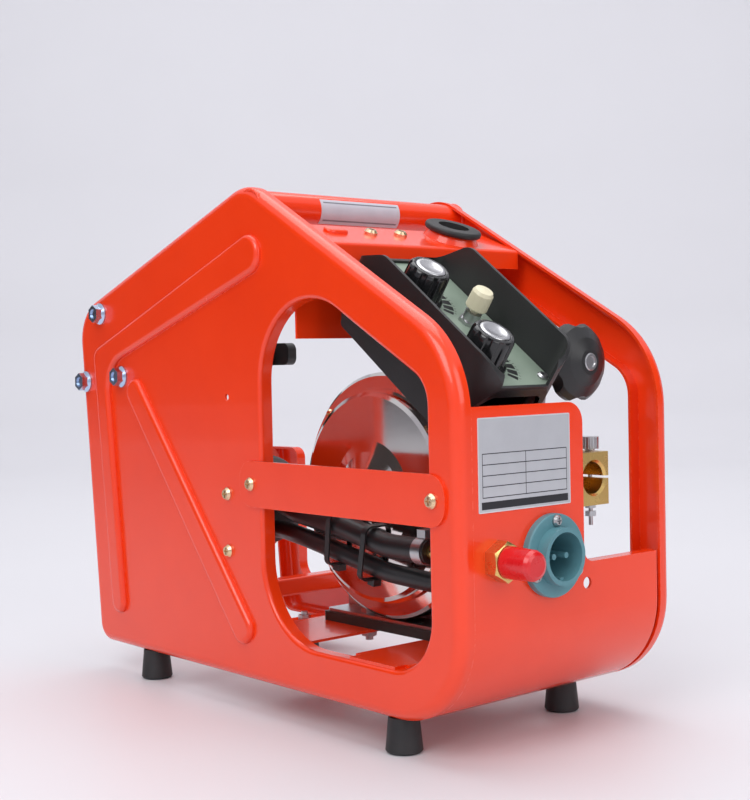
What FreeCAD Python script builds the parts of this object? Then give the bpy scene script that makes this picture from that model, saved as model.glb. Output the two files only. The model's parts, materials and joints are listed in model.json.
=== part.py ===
import FreeCAD, Part
import math
import os

V = FreeCAD.Vector

# ---------------------------------------------------------------------------
# Driving dimensions, in mm.  X runs across the feeder with 0 at its middle,
# Y runs from the front face (0) to the rear, Z runs up from the floor.
# ---------------------------------------------------------------------------
frame_width = 210.0          # outer face to outer face of the side panels
frame_depth = 474.5          # front face to the rear top corner
front_corner_z = 266.8       # where the front edge and the front slope would meet
apex_y = 221.7               # where the two slopes would meet
front_slope = math.radians(29.7)
rear_slope = math.radians(19.0)
rear_lean = math.radians(5.05)
foot_height = 23.6
sheet = 2.0                  # panel thickness
bend_radius = 8.0            # outside radius of the side panels' edge bend
flange_width = 12.4          # turned-in rim of the side panels
panel_gap = 2.0              # front panel's right end to the right frame's rim
fit_gap = 0.3                # air left between pieces that don't touch
running_gap = 0.05           # radial clearance of a shaft in its bore

corner_front_bottom = 64.0
corner_rear_bottom = 16.0
corner_rear_top = 36.0
corner_apex = 40.0
corner_front_top = 74.0

window_front = 28.0          # window's front edge from the front face
window_rear = 205.8
window_bottom = 57.0
window_band = 33.0           # slope edge to window, at right angles
window_lip = 11.0            # depth of the turned-in window lip
window_edge_radius = 3.0

post_y = 423.0               # right frame: front of the rear post
post_top = 179.0
rear_gate_y = 275.0          # right frame: end of its top rim

bent_rib = ((201.0, 343.5), (431.0, 266.0), (409.5, 52.0))
bent_rib_widths = (30.0, 20.0, 19.0)
diagonal_rib = ((384.0, 246.0), (224.0, 54.0))
diagonal_rib_widths = (22.0, 24.0)
rib_height = 4.5
rib_edge_radius = 4.0

strap_height = 34.0
strap_z = 171.0
strap_y0 = 10.5
strap_y1 = 231.0
strap_thickness = 2.0
strap_corner = 14.0
strap_screw_ys = (21.8, 216.3)

front_panel_top = 229.8
front_panel_low_top = 121.5
front_tower_width = 116.5    # from the left panel's outer face
front_wrap = 72.0            # how far the front panel runs under the feeder
front_return = 10.0          # return flange of the front panel

nameplate_left = 17.3
nameplate_width = 85.8
nameplate_height = 60.0
nameplate_bottom = 162.7
sticker = 0.4

tube_radius = 12.5
tube_wall = 1.8
tube_y = 216.0
tube_z = 373.8

channel_front_y = 133.0
channel_front_z = 342.3
channel_rear_y = 178.0
channel_rear_z = 360.3
channel_lip = 14.0
channel_web_bottom = 276.5
grommet_x = 42.0
grommet_y = 155.5
grommet_radius = 22.5
grommet_bore = 12.0
collar_height = 5.5

foot_top_radius = 10.5
foot_base_radius = 12.7
foot_ys = (71.0, 380.0)
foot_left_inset = 14.5       # foot centre from the left outer face
foot_right_inset = 39.5
foot_bolt_radius = 3.0

cross_plate_top = 59.0
front_plate_front_y = 60.0
front_plate_rear_y = 116.0
rear_plate_front_y = 171.0
rear_plate_rear_y = 245.0
rail_y = 352.0
rail_side = 15.0
insulator_thickness = 7.0
insulator_y0 = 98.0
insulator_y1 = 230.0

wire_inset = 61.0          # wire line from the right outer face
wire_z = 175.0
drive_roll_radius = 17.5
pressure_roll_radius = 15.0
roll_width = 16.0
roll_gap = 0.6

motor_inset = 60.0           # motor face from the left outer face
motor_y = 153.5
motor_cover_radius = 76.4
motor_cover_depth = 12.0
motor_body_radius = 91.0
motor_body_depth = 26.0
gear_module = 1.0
pinion_teeth = 16
gear_teeth = 56
gear_width = 9.0
shaft_radius = 5.0
housing_wall = 4.0
feed_plate_thickness = 6.0

block_width = 30.0           # torch clamp block
block_bottom = 156.0
block_top = 193.0
block_depth = 30.0
block_bore_radius = 11.0
block_front_y = 18.0

star_knob_radius = 28.0
star_knob_z = 255.8
star_knob_face_y = 20.0
star_knob_depth = 28.0

gas_inset = 33.8
gas_z = 131.5
gas_nut_size = 23.4          # across flats
gas_nut_depth = 10.0
gas_stem_radius = 8.0
gas_cap_radius = 10.5
gas_cap_tip = -34.0
nipple_tip = 74.0

socket_inset = 83.5
socket_z = 130.0
socket_flange_radius = 27.6
socket_flange_depth = 5.0
socket_collar_radius = 19.0
socket_well_radius = 16.0
socket_collar_tip = -13.0

box_tilt = math.radians(36.9)
box_inset = 30.0          # control box from the left outer face
box_width = 78.0
box_low = 150.0          # along the box's own slope
box_high = 303.0
box_floor = 139.5          # height at right angles to the slope
box_plate = 186.0
box_left_guard = 205.5
box_right_guard = 216.0
box_rim = 188.0
box_wrap = 17.0              # how far the guards turn round the front corners
box_wall = 2.5
box_corner = 20.0
knob_offset = 23.5          # knob column from the box's left side
knob_places = (181.0, 256.0)
knob_skirt_radius = 18.0
knob_radius = 15.8
knob_height = 26.0
button_offset = 50.0
button_place = 226.5
button_radius = 8.0
button_travel = 3.0

hub_y_inset = 43.5          # hub axis from the rear top corner
hub_z = 267.0
hub_radius = 25.0
hub_end_inset = 44.0          # hub's free end from the right outer face
axle_radius = 8.0
hub_bolts = ((1.7, 36.8), (28.4, -20.6), (-30.5, -16.5))

boot_x_inset = 62.0
boot_z = 150.0
boot_y = 278.0
boot_length = 30.0
boot_radius = 40.0
gas_hose_radius = 8.5
lead_radius = 6.8

left = -frame_width / 2.0
right = frame_width / 2.0
apex_z = front_corner_z + apex_y * math.tan(front_slope)
rear_top_z = apex_z - (frame_depth - apex_y) * math.tan(rear_slope)
rear_bottom_y = frame_depth - (rear_top_z - foot_height) * math.tan(rear_lean)
profile = [(0.0, foot_height), (rear_bottom_y, foot_height), (frame_depth, rear_top_z),
           (apex_y, apex_z), (0.0, front_corner_z)]
profile_radii = [corner_front_bottom, corner_rear_bottom, corner_rear_top,
                 corner_apex, corner_front_top]

wire_x = right - wire_inset
motor_z = 160.5
shaft_z = wire_z - drive_roll_radius
gear_distance = gear_module * (pinion_teeth + gear_teeth) / 2.0
shaft_y = motor_y - math.sqrt(gear_distance ** 2 - (motor_z - shaft_z) ** 2)
gear_line = math.atan2(motor_z - shaft_z, motor_y - shaft_y)   # from wheel to pinion
motor_face_x = left + motor_inset
motor_body_x = motor_face_x + motor_cover_depth
housing_x = motor_body_x + motor_body_depth
feed_plate_x1 = wire_x - roll_width / 2.0 - 7.0
feed_plate_x0 = feed_plate_x1 - feed_plate_thickness
pressure_roll_z = wire_z + roll_gap + pressure_roll_radius
hub_y = frame_depth - hub_y_inset
box_x0 = left + box_inset
box_x1 = box_x0 + box_width
knob_x = box_x0 + knob_offset
button_x = box_x0 + button_offset
gas_x = left + gas_inset
socket_x = left + socket_inset
boot_x = left + boot_x_inset


# ---------------------------------------------------------------------------
# Outlines and basic solids
# ---------------------------------------------------------------------------
def unit(a, b):
    """The 2-D direction of (a, b)."""
    size = math.hypot(a, b)
    return a / size, b / size


def side_directions(points, i):
    """Directions of the sides that arrive at and leave point i of a closed outline."""
    (pa, pb), (a, b), (na, nb) = points[i - 1], points[i], points[(i + 1) % len(points)]
    return unit(a - pa, b - pb), unit(na - a, nb - b)


def rounded_outline(points, radii, place):
    """A closed wire through 2-D points, each corner rounded by its radius."""
    if not isinstance(radii, (list, tuple)):
        radii = [radii] * len(points)
    starts, middles, ends = [], [], []
    for i, (a, b) in enumerate(points):
        into, out = side_directions(points, i)
        cosine = max(-1.0, min(1.0, into[0] * out[0] + into[1] * out[1]))
        half_turn = math.acos(cosine) / 2.0
        reach = radii[i] * math.tan(half_turn)
        depth = radii[i] * (1.0 / math.cos(half_turn) - 1.0)
        bisector = unit(out[0] - into[0], out[1] - into[1])
        starts.append((a - into[0] * reach, b - into[1] * reach))
        middles.append((a + bisector[0] * depth, b + bisector[1] * depth))
        ends.append((a + out[0] * reach, b + out[1] * reach))
    edges = []
    for i, start in enumerate(starts):
        if radii[i] > 0:
            edges.append(Part.Arc(place(*start), place(*middles[i]), place(*ends[i])).toShape())
        following = starts[(i + 1) % len(starts)]
        if math.dist(ends[i], following) > 1e-6:
            edges.append(Part.LineSegment(place(*ends[i]), place(*following)).toShape())
    return Part.Wire(edges)


def inset(points, gaps):
    """A closed anticlockwise outline with each side moved inwards by its gap."""
    count = len(points)
    if not isinstance(gaps, (list, tuple)):
        gaps = [gaps] * count
    moved = []
    for i, (a, b) in enumerate(points):
        into, out = side_directions(points, i)
        a1, b1 = a - into[1] * gaps[i - 1], b + into[0] * gaps[i - 1]
        a2, b2 = a - out[1] * gaps[i], b + out[0] * gaps[i]
        cross = into[0] * out[1] - into[1] * out[0]
        along = ((a2 - a1) * out[1] - (b2 - b1) * out[0]) / cross
        moved.append((a1 + into[0] * along, b1 + into[1] * along))
    return moved


def inset_radii(points, radii, gap):
    """The corner radii that keep an inset outline parallel: smaller outside, larger inside."""
    result = []
    for i, radius in enumerate(radii):
        into, out = side_directions(points, i)
        convex = into[0] * out[1] - into[1] * out[0] > 0
        result.append(radius - gap if convex else radius + gap)
    return result


def plate_x(points, radii, x0, x1):
    """A plate between x0 and x1 with a (y, z) outline."""
    wire = rounded_outline(points, radii, lambda a, b: V(x0, a, b))
    return Part.Face(wire).extrude(V(x1 - x0, 0, 0))


def plate_y(points, radii, y0, y1):
    """A plate between y0 and y1 with an (x, z) outline."""
    wire = rounded_outline(points, radii, lambda a, b: V(a, y0, b))
    return Part.Face(wire).extrude(V(0, y1 - y0, 0))


def plate_z(points, radii, z0, z1):
    """A plate between z0 and z1 with an (x, y) outline."""
    wire = rounded_outline(points, radii, lambda a, b: V(a, b, z0))
    return Part.Face(wire).extrude(V(0, 0, z1 - z0))


def rectangle(a0, a1, b0, b1):
    """The four corners of a rectangle, anticlockwise."""
    return [(a0, b0), (a1, b0), (a1, b1), (a0, b1)]


def box(x0, x1, y0, y1, z0, z1):
    """An axis-aligned box."""
    return Part.makeBox(x1 - x0, y1 - y0, z1 - z0, V(x0, y0, z0))


def rod_x(y, z, radius, x0, x1):
    return Part.makeCylinder(radius, x1 - x0, V(x0, y, z), V(1, 0, 0))


def rod_y(x, z, radius, y0, y1):
    return Part.makeCylinder(radius, y1 - y0, V(x, y0, z), V(0, 1, 0))


def rod_z(x, y, radius, z0, z1):
    return Part.makeCylinder(radius, z1 - z0, V(x, y, z0), V(0, 0, 1))


def hexagon(a, b, across_flats):
    """Six corners of a hexagon with two corners above and below its centre."""
    radius = across_flats / math.sqrt(3.0)
    angles = [math.radians(30 + 60 * k) for k in range(6)]
    return [(a + radius * math.cos(t), b + radius * math.sin(t)) for t in angles]


def turned_x(points, y, z):
    """A solid of revolution about an X line; points are (x, radius)."""
    wire = Part.makePolygon([V(a, y, z + r) for a, r in points + points[:1]])
    return Part.Face(wire).revolve(V(0, y, z), V(1, 0, 0), 360)


def turned_y(points, x, z):
    """A solid of revolution about a Y line; points are (y, radius)."""
    wire = Part.makePolygon([V(x, a, z + r) for a, r in points + points[:1]])
    return Part.Face(wire).revolve(V(x, 0, z), V(0, 1, 0), 360)


def turned_z(points, x, y):
    """A solid of revolution about a Z line; points are (radius, z)."""
    wire = Part.makePolygon([V(x + r, y, c) for r, c in points + points[:1]])
    return Part.Face(wire).revolve(V(x, y, 0), V(0, 0, 1), 360)


def round_edges(shape, radius, wanted):
    """Fillet the edges for which wanted(edge) is true."""
    edges = [edge for edge in shape.Edges if wanted(edge)]
    return shape.makeFillet(radius, edges)


def on_plane_x(x):
    """A test for edges that lie in the plane at x."""
    return lambda edge: all(abs(edge.valueAt(t).x - x) < 0.01 for t in edge.ParameterRange)


def fused(solids):
    """One solid from several that overlap or share faces."""
    whole = solids[0]
    for solid in solids[1:]:
        whole = whole.fuse(solid)
    return whole.removeSplitter()


def group(solids):
    """Separate solids that share one node."""
    return Part.makeCompound(solids)


def tilted(shape):
    """Turn a shape from the control box's own frame (x, along slope, off slope) into place."""
    copy = shape.copy()
    copy.rotate(V(0, 0, 0), V(1, 0, 0), math.degrees(box_tilt))
    return copy


def routed_tube(points, bends, radius):
    """A round hose along straight runs joined by tangent arcs, with its centre-line length."""
    corners = [V(*p) for p in points]
    edges, length = [], 0.0
    start = corners[0]
    for i in range(1, len(corners) - 1):
        into = (corners[i] - corners[i - 1]).normalize()
        out = (corners[i + 1] - corners[i]).normalize()
        half_turn = into.getAngle(out) / 2.0
        reach = bends[i - 1] * math.tan(half_turn)
        first, last = corners[i] - into * reach, corners[i] + out * reach
        bisector = (out - into).normalize()
        middle = corners[i] + bisector * (bends[i - 1] * (1.0 / math.cos(half_turn) - 1.0))
        edges.append(Part.LineSegment(start, first).toShape())
        edges.append(Part.Arc(first, middle, last).toShape())
        start = last
    edges.append(Part.LineSegment(start, corners[-1]).toShape())
    path = Part.Wire(edges)
    section = Part.Wire(Part.Circle(corners[0], corners[1] - corners[0], radius).toShape())
    tube = path.makePipeShell([section], True, True)
    expected = math.pi * radius ** 2 * path.Length
    print("hose radius %.1f length %.1f volume ratio %.4f" % (radius, path.Length, tube.Volume / expected))
    return tube


# ---------------------------------------------------------------------------
# Frame
# ---------------------------------------------------------------------------
def slope_line_z(y, drop):
    """Height of the line parallel to the front slope, drop below it at right angles."""
    return front_corner_z + y * math.tan(front_slope) - drop / math.cos(front_slope)


def left_window():
    """Outline and radii of the left window."""
    points = [(window_front, window_bottom), (window_rear, window_bottom),
              (window_rear, slope_line_z(window_rear, window_band)),
              (window_front, slope_line_z(window_front, window_band))]
    return points, [38.0, 60.0, 59.0, 24.0]


def right_opening():
    """Outline and radii of the right frame's opening, which runs out through the rear edge."""
    ring = inset(profile, [window_bottom - foot_height, window_band, window_band, window_band,
                           window_front])
    gate_z = ring[3][1] - (rear_gate_y - ring[3][0]) * math.tan(rear_slope)
    beyond = frame_depth + 45.0
    points = [ring[0], (post_y, window_bottom), (post_y, post_top), (beyond, post_top),
              (beyond, apex_z + 40.0), (rear_gate_y + 12.0, apex_z + 40.0), (rear_gate_y, gate_z),
              ring[3], ring[4]]
    return points, [38.0, 15.0, 10.0, 0.0, 0.0, 0.0, 8.0, 20.0, 24.0]


def tray_inside(gap):
    """The space inside a left-hand side panel, kept clear of its walls by a gap."""
    clear = sheet + gap
    space = plate_x(inset(profile, clear), inset_radii(profile, profile_radii, clear),
                    left + clear, left + flange_width + 1.0)
    return round_edges(space, bend_radius - clear, on_plane_x(left + clear))


def pressed_side(window, window_radii):
    """A left-hand side panel: a shallow tray with a turned-in rim and a lipped window."""
    outer = plate_x(profile, profile_radii, left, left + flange_width)
    outer = round_edges(outer, bend_radius, on_plane_x(left))
    tray = outer.cut(tray_inside(0.0))
    lip = plate_x(inset(window, -sheet), inset_radii(window, window_radii, -sheet),
                  left, left + window_lip)
    hole = plate_x(window, window_radii, left - 1.0, left + flange_width + 1.0)
    tray = tray.fuse(lip.common(outer)).cut(hole).removeSplitter()
    rim = rounded_outline(window, window_radii, lambda a, b: V(left, a, b))

    def on_rim(edge):
        middle = edge.valueAt(sum(edge.ParameterRange) / 2.0)
        return on_plane_x(left)(edge) and rim.distToShape(Part.Vertex(middle))[0] < 0.05

    return round_edges(tray, window_edge_radius, on_rim)


def foot_ears(inset_x):
    """Tabs turned in from the bottom rim, one over each foot, on the left-hand side."""
    ears = []
    for y in foot_ys:
        outline = rectangle(left + flange_width - 1.0, left + inset_x + 15.0, y - 16.0, y + 16.0)
        ears.append(plate_z(outline, [0.0, 6.0, 6.0, 0.0], foot_height, foot_height + sheet))
    return ears


def rib_outline(path, widths):
    """Outline round a centre line of two or three points, with its ends squared off."""
    lefts, rights = [], []
    for i, (a, b) in enumerate(path):
        before = unit(a - path[i - 1][0], b - path[i - 1][1]) if i else None
        after = unit(path[i + 1][0] - a, path[i + 1][1] - b) if i < len(path) - 1 else None
        directions = [d for d in (before, after) if d]
        normal = unit(-sum(d[1] for d in directions), sum(d[0] for d in directions))
        half = widths[i] / 2.0
        if len(directions) == 2:
            half /= normal[0] * -before[1] + normal[1] * before[0]
        lefts.append((a + normal[0] * half, b + normal[1] * half))
        rights.append((a - normal[0] * half, b - normal[1] * half))
    return rights + lefts[::-1]


def panel_ribs():
    """Outlines and radii of the ribs pressed outwards in the left panel."""
    bent, diagonal = rib_outline(bent_rib, bent_rib_widths), rib_outline(diagonal_rib, diagonal_rib_widths)
    wide, narrow = bent_rib_widths[0] / 2.0 - 0.5, bent_rib_widths[2] / 2.0 - 0.5
    diagonal_end = diagonal_rib_widths[0] / 2.0 - 0.5
    return [(bent, [wide, 30.0, narrow, narrow, 11.0, wide]), (diagonal, [diagonal_end] * 4)]


def anticlockwise(points, radii):
    """The same outline taken anticlockwise."""
    area = sum(points[i - 1][0] * p[1] - p[0] * points[i - 1][1] for i, p in enumerate(points))
    return (points, radii) if area > 0 else (points[::-1], radii[::-1])


def hub_bolt_places():
    """Centres of the three bolts that hold the hub bracket."""
    return [(hub_y + dy, hub_z + dz) for dy, dz in hub_bolts]


def side_screw_places():
    """Centres of the screws beside the left window and on the strap."""
    beside = [(window_rear + 43.0, z) for z in (118.7, 161.7)]
    return beside, [(y, strap_z) for y in strap_screw_ys]


def left_side_panel():
    window, radii = left_window()
    panel = pressed_side(window, radii)
    for points, corner_radii in panel_ribs():
        points, corner_radii = anticlockwise(points, corner_radii)
        rib = plate_x(points, corner_radii, left - rib_height, left + sheet)
        rib = round_edges(rib, rib_edge_radius, on_plane_x(left - rib_height))
        groove = plate_x(inset(points, sheet), inset_radii(points, corner_radii, sheet),
                         left + sheet - rib_height, left + sheet + 1.0)
        for y, z in hub_bolt_places():
            seat = rod_x(y, z, 9.4, left - rib_height - 1.0, left + sheet + 2.0)
            rib, groove = rib.cut(seat), groove.cut(seat)
        panel = panel.fuse(rib).cut(groove)
    panel = fused([panel] + foot_ears(foot_left_inset))
    beside, strap = side_screw_places()
    for y, z in beside + strap:
        panel = panel.cut(rod_x(y, z, 2.6, left - 5.0, left + 5.0))
    for y, z in hub_bolt_places():
        panel = panel.cut(rod_x(y, z, 4.1, left - 6.0, left + 5.0))
    panel = panel.cut(rod_x(window_rear + 42.0, 234.4, 2.5, left - 5.0, left + 5.0))
    for y in foot_ys:
        panel = panel.cut(rod_z(left + foot_left_inset, y, 3.1, foot_height - 1.0, foot_height + 5.0))
    return panel


def right_side_frame():
    opening, radii = right_opening()
    frame = fused([pressed_side(opening, radii)] + foot_ears(foot_right_inset))
    for y in foot_ys:
        frame = frame.cut(rod_z(left + foot_right_inset, y, 3.1, foot_height - 1.0, foot_height + 5.0))
    return frame.mirror(V(0, 0, 0), V(1, 0, 0))


def front_panel():
    """The L-shaped front, which follows the panels' front curve and runs under the feeder."""
    x0, x1 = left + flange_width, right - flange_width - panel_gap
    tower = left + front_tower_width
    skin = plate_x(profile, profile_radii, x0, x1).cut(
        plate_x(inset(profile, sheet), inset_radii(profile, profile_radii, sheet), x0 - 1.0, x1 + 1.0))
    turned = plate_x(profile, profile_radii, x1 - sheet, x1).cut(
        plate_x(inset(profile, front_return), inset_radii(profile, profile_radii, front_return),
                x1 - sheet - 1.0, x1 + 1.0))
    keep = plate_y([(x0, 0.0), (x1, 0.0), (x1, front_panel_low_top), (tower, front_panel_low_top),
                    (tower, front_panel_top), (x0, front_panel_top)],
                   [0.0, 0.0, 0.0, 9.0, 14.0, 0.0], -1.0, front_wrap)
    shelf = box(tower + 9.0, x1, 0.0, front_return, front_panel_low_top - sheet, front_panel_low_top)
    panel = fused([skin.common(keep), turned.common(keep), shelf])
    panel = round_edges(panel, 3.0, lambda edge: on_plane_x(x1)(edge) and on_front_curve(edge))
    notch = plate_z([(24.0, 48.0), (42.0, 48.0), (52.0, 80.0), (14.0, 80.0)], [8.0, 8.0, 0.0, 0.0],
                    foot_height - 1.0, foot_height + 4.0)
    ear = right - foot_right_inset
    ear_gap = box(ear - 16.5, x1 + 1.0, foot_ys[0] - 17.0, front_wrap + 1.0,
                  foot_height - 1.0, foot_height + 4.0)
    panel = panel.cut(notch).cut(ear_gap)
    left_ear = left + foot_left_inset + 15.5
    panel = panel.cut(box(x0 - 1.0, left_ear, foot_ys[0] - 17.0, front_wrap + 1.0,
                          foot_height - 1.0, foot_height + 4.0))
    holes = [(gas_x, gas_z, gas_stem_radius + fit_gap), (socket_x, socket_z, socket_collar_radius + fit_gap),
             (left + 119.2, 107.4, 4.0)]
    holes += [(x, z, 2.0) for x, z in socket_screw_places()]
    for x, z, radius in holes:
        panel = panel.cut(rod_y(x, z, radius, -1.0, 4.0))
    return panel


def on_front_curve(edge):
    """True for edges on the front face or on the bottom front curve."""
    middle = edge.valueAt(sum(edge.ParameterRange) / 2.0)
    centre_z = foot_height + corner_front_bottom
    if middle.z > centre_z:
        return abs(middle.y) < 0.01 and middle.z < front_panel_low_top - 3.0
    from_centre = math.hypot(middle.y - corner_front_bottom, middle.z - centre_z)
    return abs(from_centre - corner_front_bottom) < 0.05 and middle.y < corner_front_bottom


def handle_tube():
    """Tube between the side panels, its ends trimmed to the inside of their bends."""
    tube = rod_x(tube_y, tube_z, tube_radius, left + sheet, right - sheet)
    tube = tube.cut(rod_x(tube_y, tube_z, tube_radius - tube_wall, left, right))
    rim = flange_width + 0.5
    end = tube.common(tray_inside(0.0))
    middle = tube.common(box(left + rim, right - rim, 0.0, frame_depth, 0.0, apex_z))
    return fused([middle, end, end.mirror(V(0, 0, 0), V(1, 0, 0))])


def handle_label():
    """A thin label wrapped over the front of the tube."""
    x0, x1 = left + 59.6, left + 138.0
    shell = rod_x(tube_y, tube_z, tube_radius + sticker, x0, x1).cut(
        rod_x(tube_y, tube_z, tube_radius, x0 - 1.0, x1 + 1.0))
    return shell.common(box(x0, x1, tube_y - 20.0, tube_y - 2.0, tube_z - 10.0, tube_z + 8.0))


def sheet_strip(path, bend, x0, x1):
    """Bent sheet of the panel thickness along a (y, z) path, between x0 and x1."""
    offset = []
    for i, (a, b) in enumerate(path):
        before = unit(a - path[i - 1][0], b - path[i - 1][1]) if i else None
        after = unit(path[i + 1][0] - a, path[i + 1][1] - b) if i < len(path) - 1 else None
        directions = [d for d in (before, after) if d]
        normal = unit(sum(d[1] for d in directions), -sum(d[0] for d in directions))
        span = sheet
        if len(directions) == 2:
            span /= normal[0] * before[1] - normal[1] * before[0]
        offset.append((a + normal[0] * span, b + normal[1] * span))
    count = len(path) - 2
    radii = [0.0] + [bend] * count + [0.0, 0.0] + [bend - sheet] * count + [0.0]
    return plate_x(path + offset[::-1], radii, x0, x1)


def channel_normal():
    """Direction square to the channel's top, and the height of the top at a given y."""
    rise = (channel_rear_z - channel_front_z) / (channel_rear_y - channel_front_y)
    angle = math.atan(rise)
    return V(0, -math.sin(angle), math.cos(angle)), lambda y: channel_front_z + (y - channel_front_y) * rise


def top_cross_channel():
    """The beam under the handle: front lip, sloping top, deep rear web, ears and a collar."""
    path = [(channel_front_y, channel_front_z - channel_lip), (channel_front_y, channel_front_z),
            (channel_rear_y, channel_rear_z), (channel_rear_y, channel_web_bottom)]
    rim = flange_width + fit_gap
    channel = sheet_strip(path, 3.5, left + rim, right - rim)
    web_y = channel_rear_y - sheet
    channel = channel.fuse(box(left + sheet, left + rim + 1.0, web_y, channel_rear_y, 303.0, 352.0))
    channel = channel.fuse(box(right - rim - 1.0, right - sheet, web_y, channel_rear_y, 336.0, 352.0))
    normal, top_z = channel_normal()
    base = V(grommet_x, grommet_y, top_z(grommet_y))
    collar = Part.makeCone(grommet_radius - 1.0, grommet_radius - 4.0, collar_height, base, normal)
    channel = channel.fuse(collar)
    channel = channel.cut(Part.makeCylinder(grommet_bore + 1.5, 30.0, base - normal * 10.0, normal))
    channel = channel.fuse(channel_pressing())
    for x, y in channel_screw_places():
        centre = V(x, y, top_z(y))
        channel = channel.cut(Part.makeCylinder(2.6, 20.0, centre - normal * 10.0, normal))
    return channel.removeSplitter()


def channel_pressing():
    """Oval raised on the channel's top at its left end."""
    normal, top_z = channel_normal()
    y = grommet_y + 3.0
    oval = plate_z(rectangle(-10.0, 10.0, -5.5, 5.5), 5.4, -1.0, 2.8)
    oval = oval.makeFillet(2.2, [e for e in oval.Edges if e.BoundBox.ZMin > 2.7])
    return placed_along(oval, V(left + 36.0, y, top_z(y)), normal)


def placed_along(shape, seat, normal):
    """A copy set on the channel's top, keeping its X across the feeder."""
    copy = shape.copy()
    copy.rotate(V(0, 0, 0), V(1, 0, 0), math.degrees(math.atan2(-normal.y, normal.z)))
    copy.translate(seat)
    return copy


def channel_screw_places():
    """(x, y) of the two screws on the channel's top."""
    return [(left + 69.0, grommet_y + 3.0), (left + 98.0, grommet_y + 3.0)]


def cable_grommet():
    """Rubber ring in the raised collar."""
    normal, top_z = channel_normal()
    base = V(grommet_x, grommet_y, top_z(grommet_y))
    lip = Part.makeCylinder(grommet_radius - 0.5, 5.0, base + normal * collar_height, normal)
    lip = lip.makeFillet(2.2, [e for e in lip.Edges if e.Length > 10.0 and e.Closed])
    sleeve = Part.makeCylinder(grommet_bore + 1.5, collar_height + 3.0, base - normal * 2.0, normal)
    bore = Part.makeCylinder(grommet_bore, 30.0, base - normal * 10.0, normal)
    return fused([lip, sleeve]).cut(bore)


def window_strap():
    strap = plate_x(rectangle(strap_y0, strap_y1, strap_z - strap_height / 2.0,
                              strap_z + strap_height / 2.0),
                    strap_corner, left - strap_thickness, left)
    for y in strap_screw_ys:
        strap = strap.cut(rod_x(y, strap_z, 2.6, left - 5.0, left + 1.0))
    return strap


def pan_screw(radius, head_radius, head_height, length):
    """A pan-head screw pointing down -Z from its seat at z 0, with a cross recess."""
    head = turned_z([(0.0, 0.0), (head_radius, 0.0), (head_radius, head_height * 0.45),
                     (head_radius * 0.7, head_height), (0.0, head_height)], 0.0, 0.0)
    screw = head.fuse(rod_z(0.0, 0.0, radius, -length, 0.0))
    slot = head_radius * 0.55
    for a, b in ((slot, 0.6), (0.6, slot)):
        screw = screw.cut(box(-a, a, -b, b, head_height * 0.5, head_height + 1.0))
    return screw.removeSplitter()


def placed(shape, seat, direction):
    """A copy with its +Z turned to direction and its origin moved to seat."""
    copy = shape.copy()
    copy.Placement = FreeCAD.Placement(V(*seat), FreeCAD.Rotation(V(0, 0, 1), V(*direction)))
    return copy


def panel_screws():
    """M5 pan-head screws: window strap, beside the window, and on the cross channel."""
    screw = pan_screw(2.5, 5.0, 3.4, 9.0)
    washer_seat = left - strap_thickness
    beside, strap = side_screw_places()
    screws = [placed(screw, (washer_seat, y, z), (-1, 0, 0)) for y, z in strap]
    screws += [placed(screw, (left, y, z), (-1, 0, 0)) for y, z in beside]
    normal, top_z = channel_normal()
    for x, y in channel_screw_places():
        screws.append(placed(screw, (x, y, top_z(y)), tuple(normal)))
    return group(screws)


def hub_bracket_bolts():
    """M8 flange bolts, heads outside the left panel."""
    bolts = []
    for y, z in hub_bolt_places():
        head = plate_x(hexagon(y, z, 13.0), 0.0, left - 8.0, left - 2.0)
        flange = turned_x([(left - 3.4, 0.0), (left - 3.4, 6.6), (left - 1.4, 9.0), (left, 9.0),
                           (left, 0.0)], y, z)
        cup = rod_x(y, z, 4.0, left - 9.0, left - 6.8)
        shank = rod_x(y, z, 4.0, left, left + 15.0)
        bolts.append(fused([head.cut(cup), flange, shank]))
    return group(bolts)


def nameplate():
    x0 = left + nameplate_left
    return plate_y(rectangle(x0, x0 + nameplate_width, nameplate_bottom,
                             nameplate_bottom + nameplate_height), 1.0, -sticker, 0.0)


def foot_places():
    """(x, y) of the four feet."""
    xs = (left + foot_left_inset, right - foot_right_inset)
    return [(x, y) for x in xs for y in foot_ys]


def rubber_feet():
    feet = []
    for x, y in foot_places():
        foot = turned_z([(0.0, 0.0), (foot_base_radius - 1.0, 0.0), (foot_base_radius, 1.2),
                         (foot_top_radius, foot_height), (0.0, foot_height)], x, y)
        foot = foot.cut(rod_z(x, y, foot_bolt_radius, 5.0, foot_height + 1.0))
        feet.append(foot.cut(rod_z(x, y, 5.5, -1.0, 5.0)))
    return group(feet)


def foot_bolts():
    """Bolts up through the feet, each with a nut on the ear."""
    bolts = []
    for x, y in foot_places():
        shank = rod_z(x, y, foot_bolt_radius, 2.0, foot_height + sheet + 8.0)
        head = rod_z(x, y, 5.2, 2.0, 5.0)
        nut = plate_z(hexagon(x, y, 10.0), 0.0, foot_height + sheet, foot_height + sheet + 5.0)
        bolts.append(fused([shank, head, nut]))
    return group(bolts)


def cross_plate(y0, y1, turned_edge):
    """A shelf that rests on the side panels' window lips, one long edge turned down."""
    clear = window_lip + 0.5
    drop = cross_plate_top - 12.0
    path = [(y0, cross_plate_top), (y1, cross_plate_top)]
    path = [(y0, drop)] + path if turned_edge == y0 else path + [(y1, drop)]
    shelf = sheet_strip(path, 3.5, left + clear, right - clear)
    low = cross_plate_top - sheet
    for a, b in ((left + sheet, left + clear + 1.0), (right - clear - 1.0, right - sheet)):
        shelf = shelf.fuse(box(a, b, y0 + 5.0, y1 - 5.0, low, cross_plate_top))
    for x, y, _ in mount_bolt_places():
        shelf = shelf.cut(rod_z(x, y, 3.2, drop - 5.0, cross_plate_top + 1.0))
    return shelf.removeSplitter()


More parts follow.
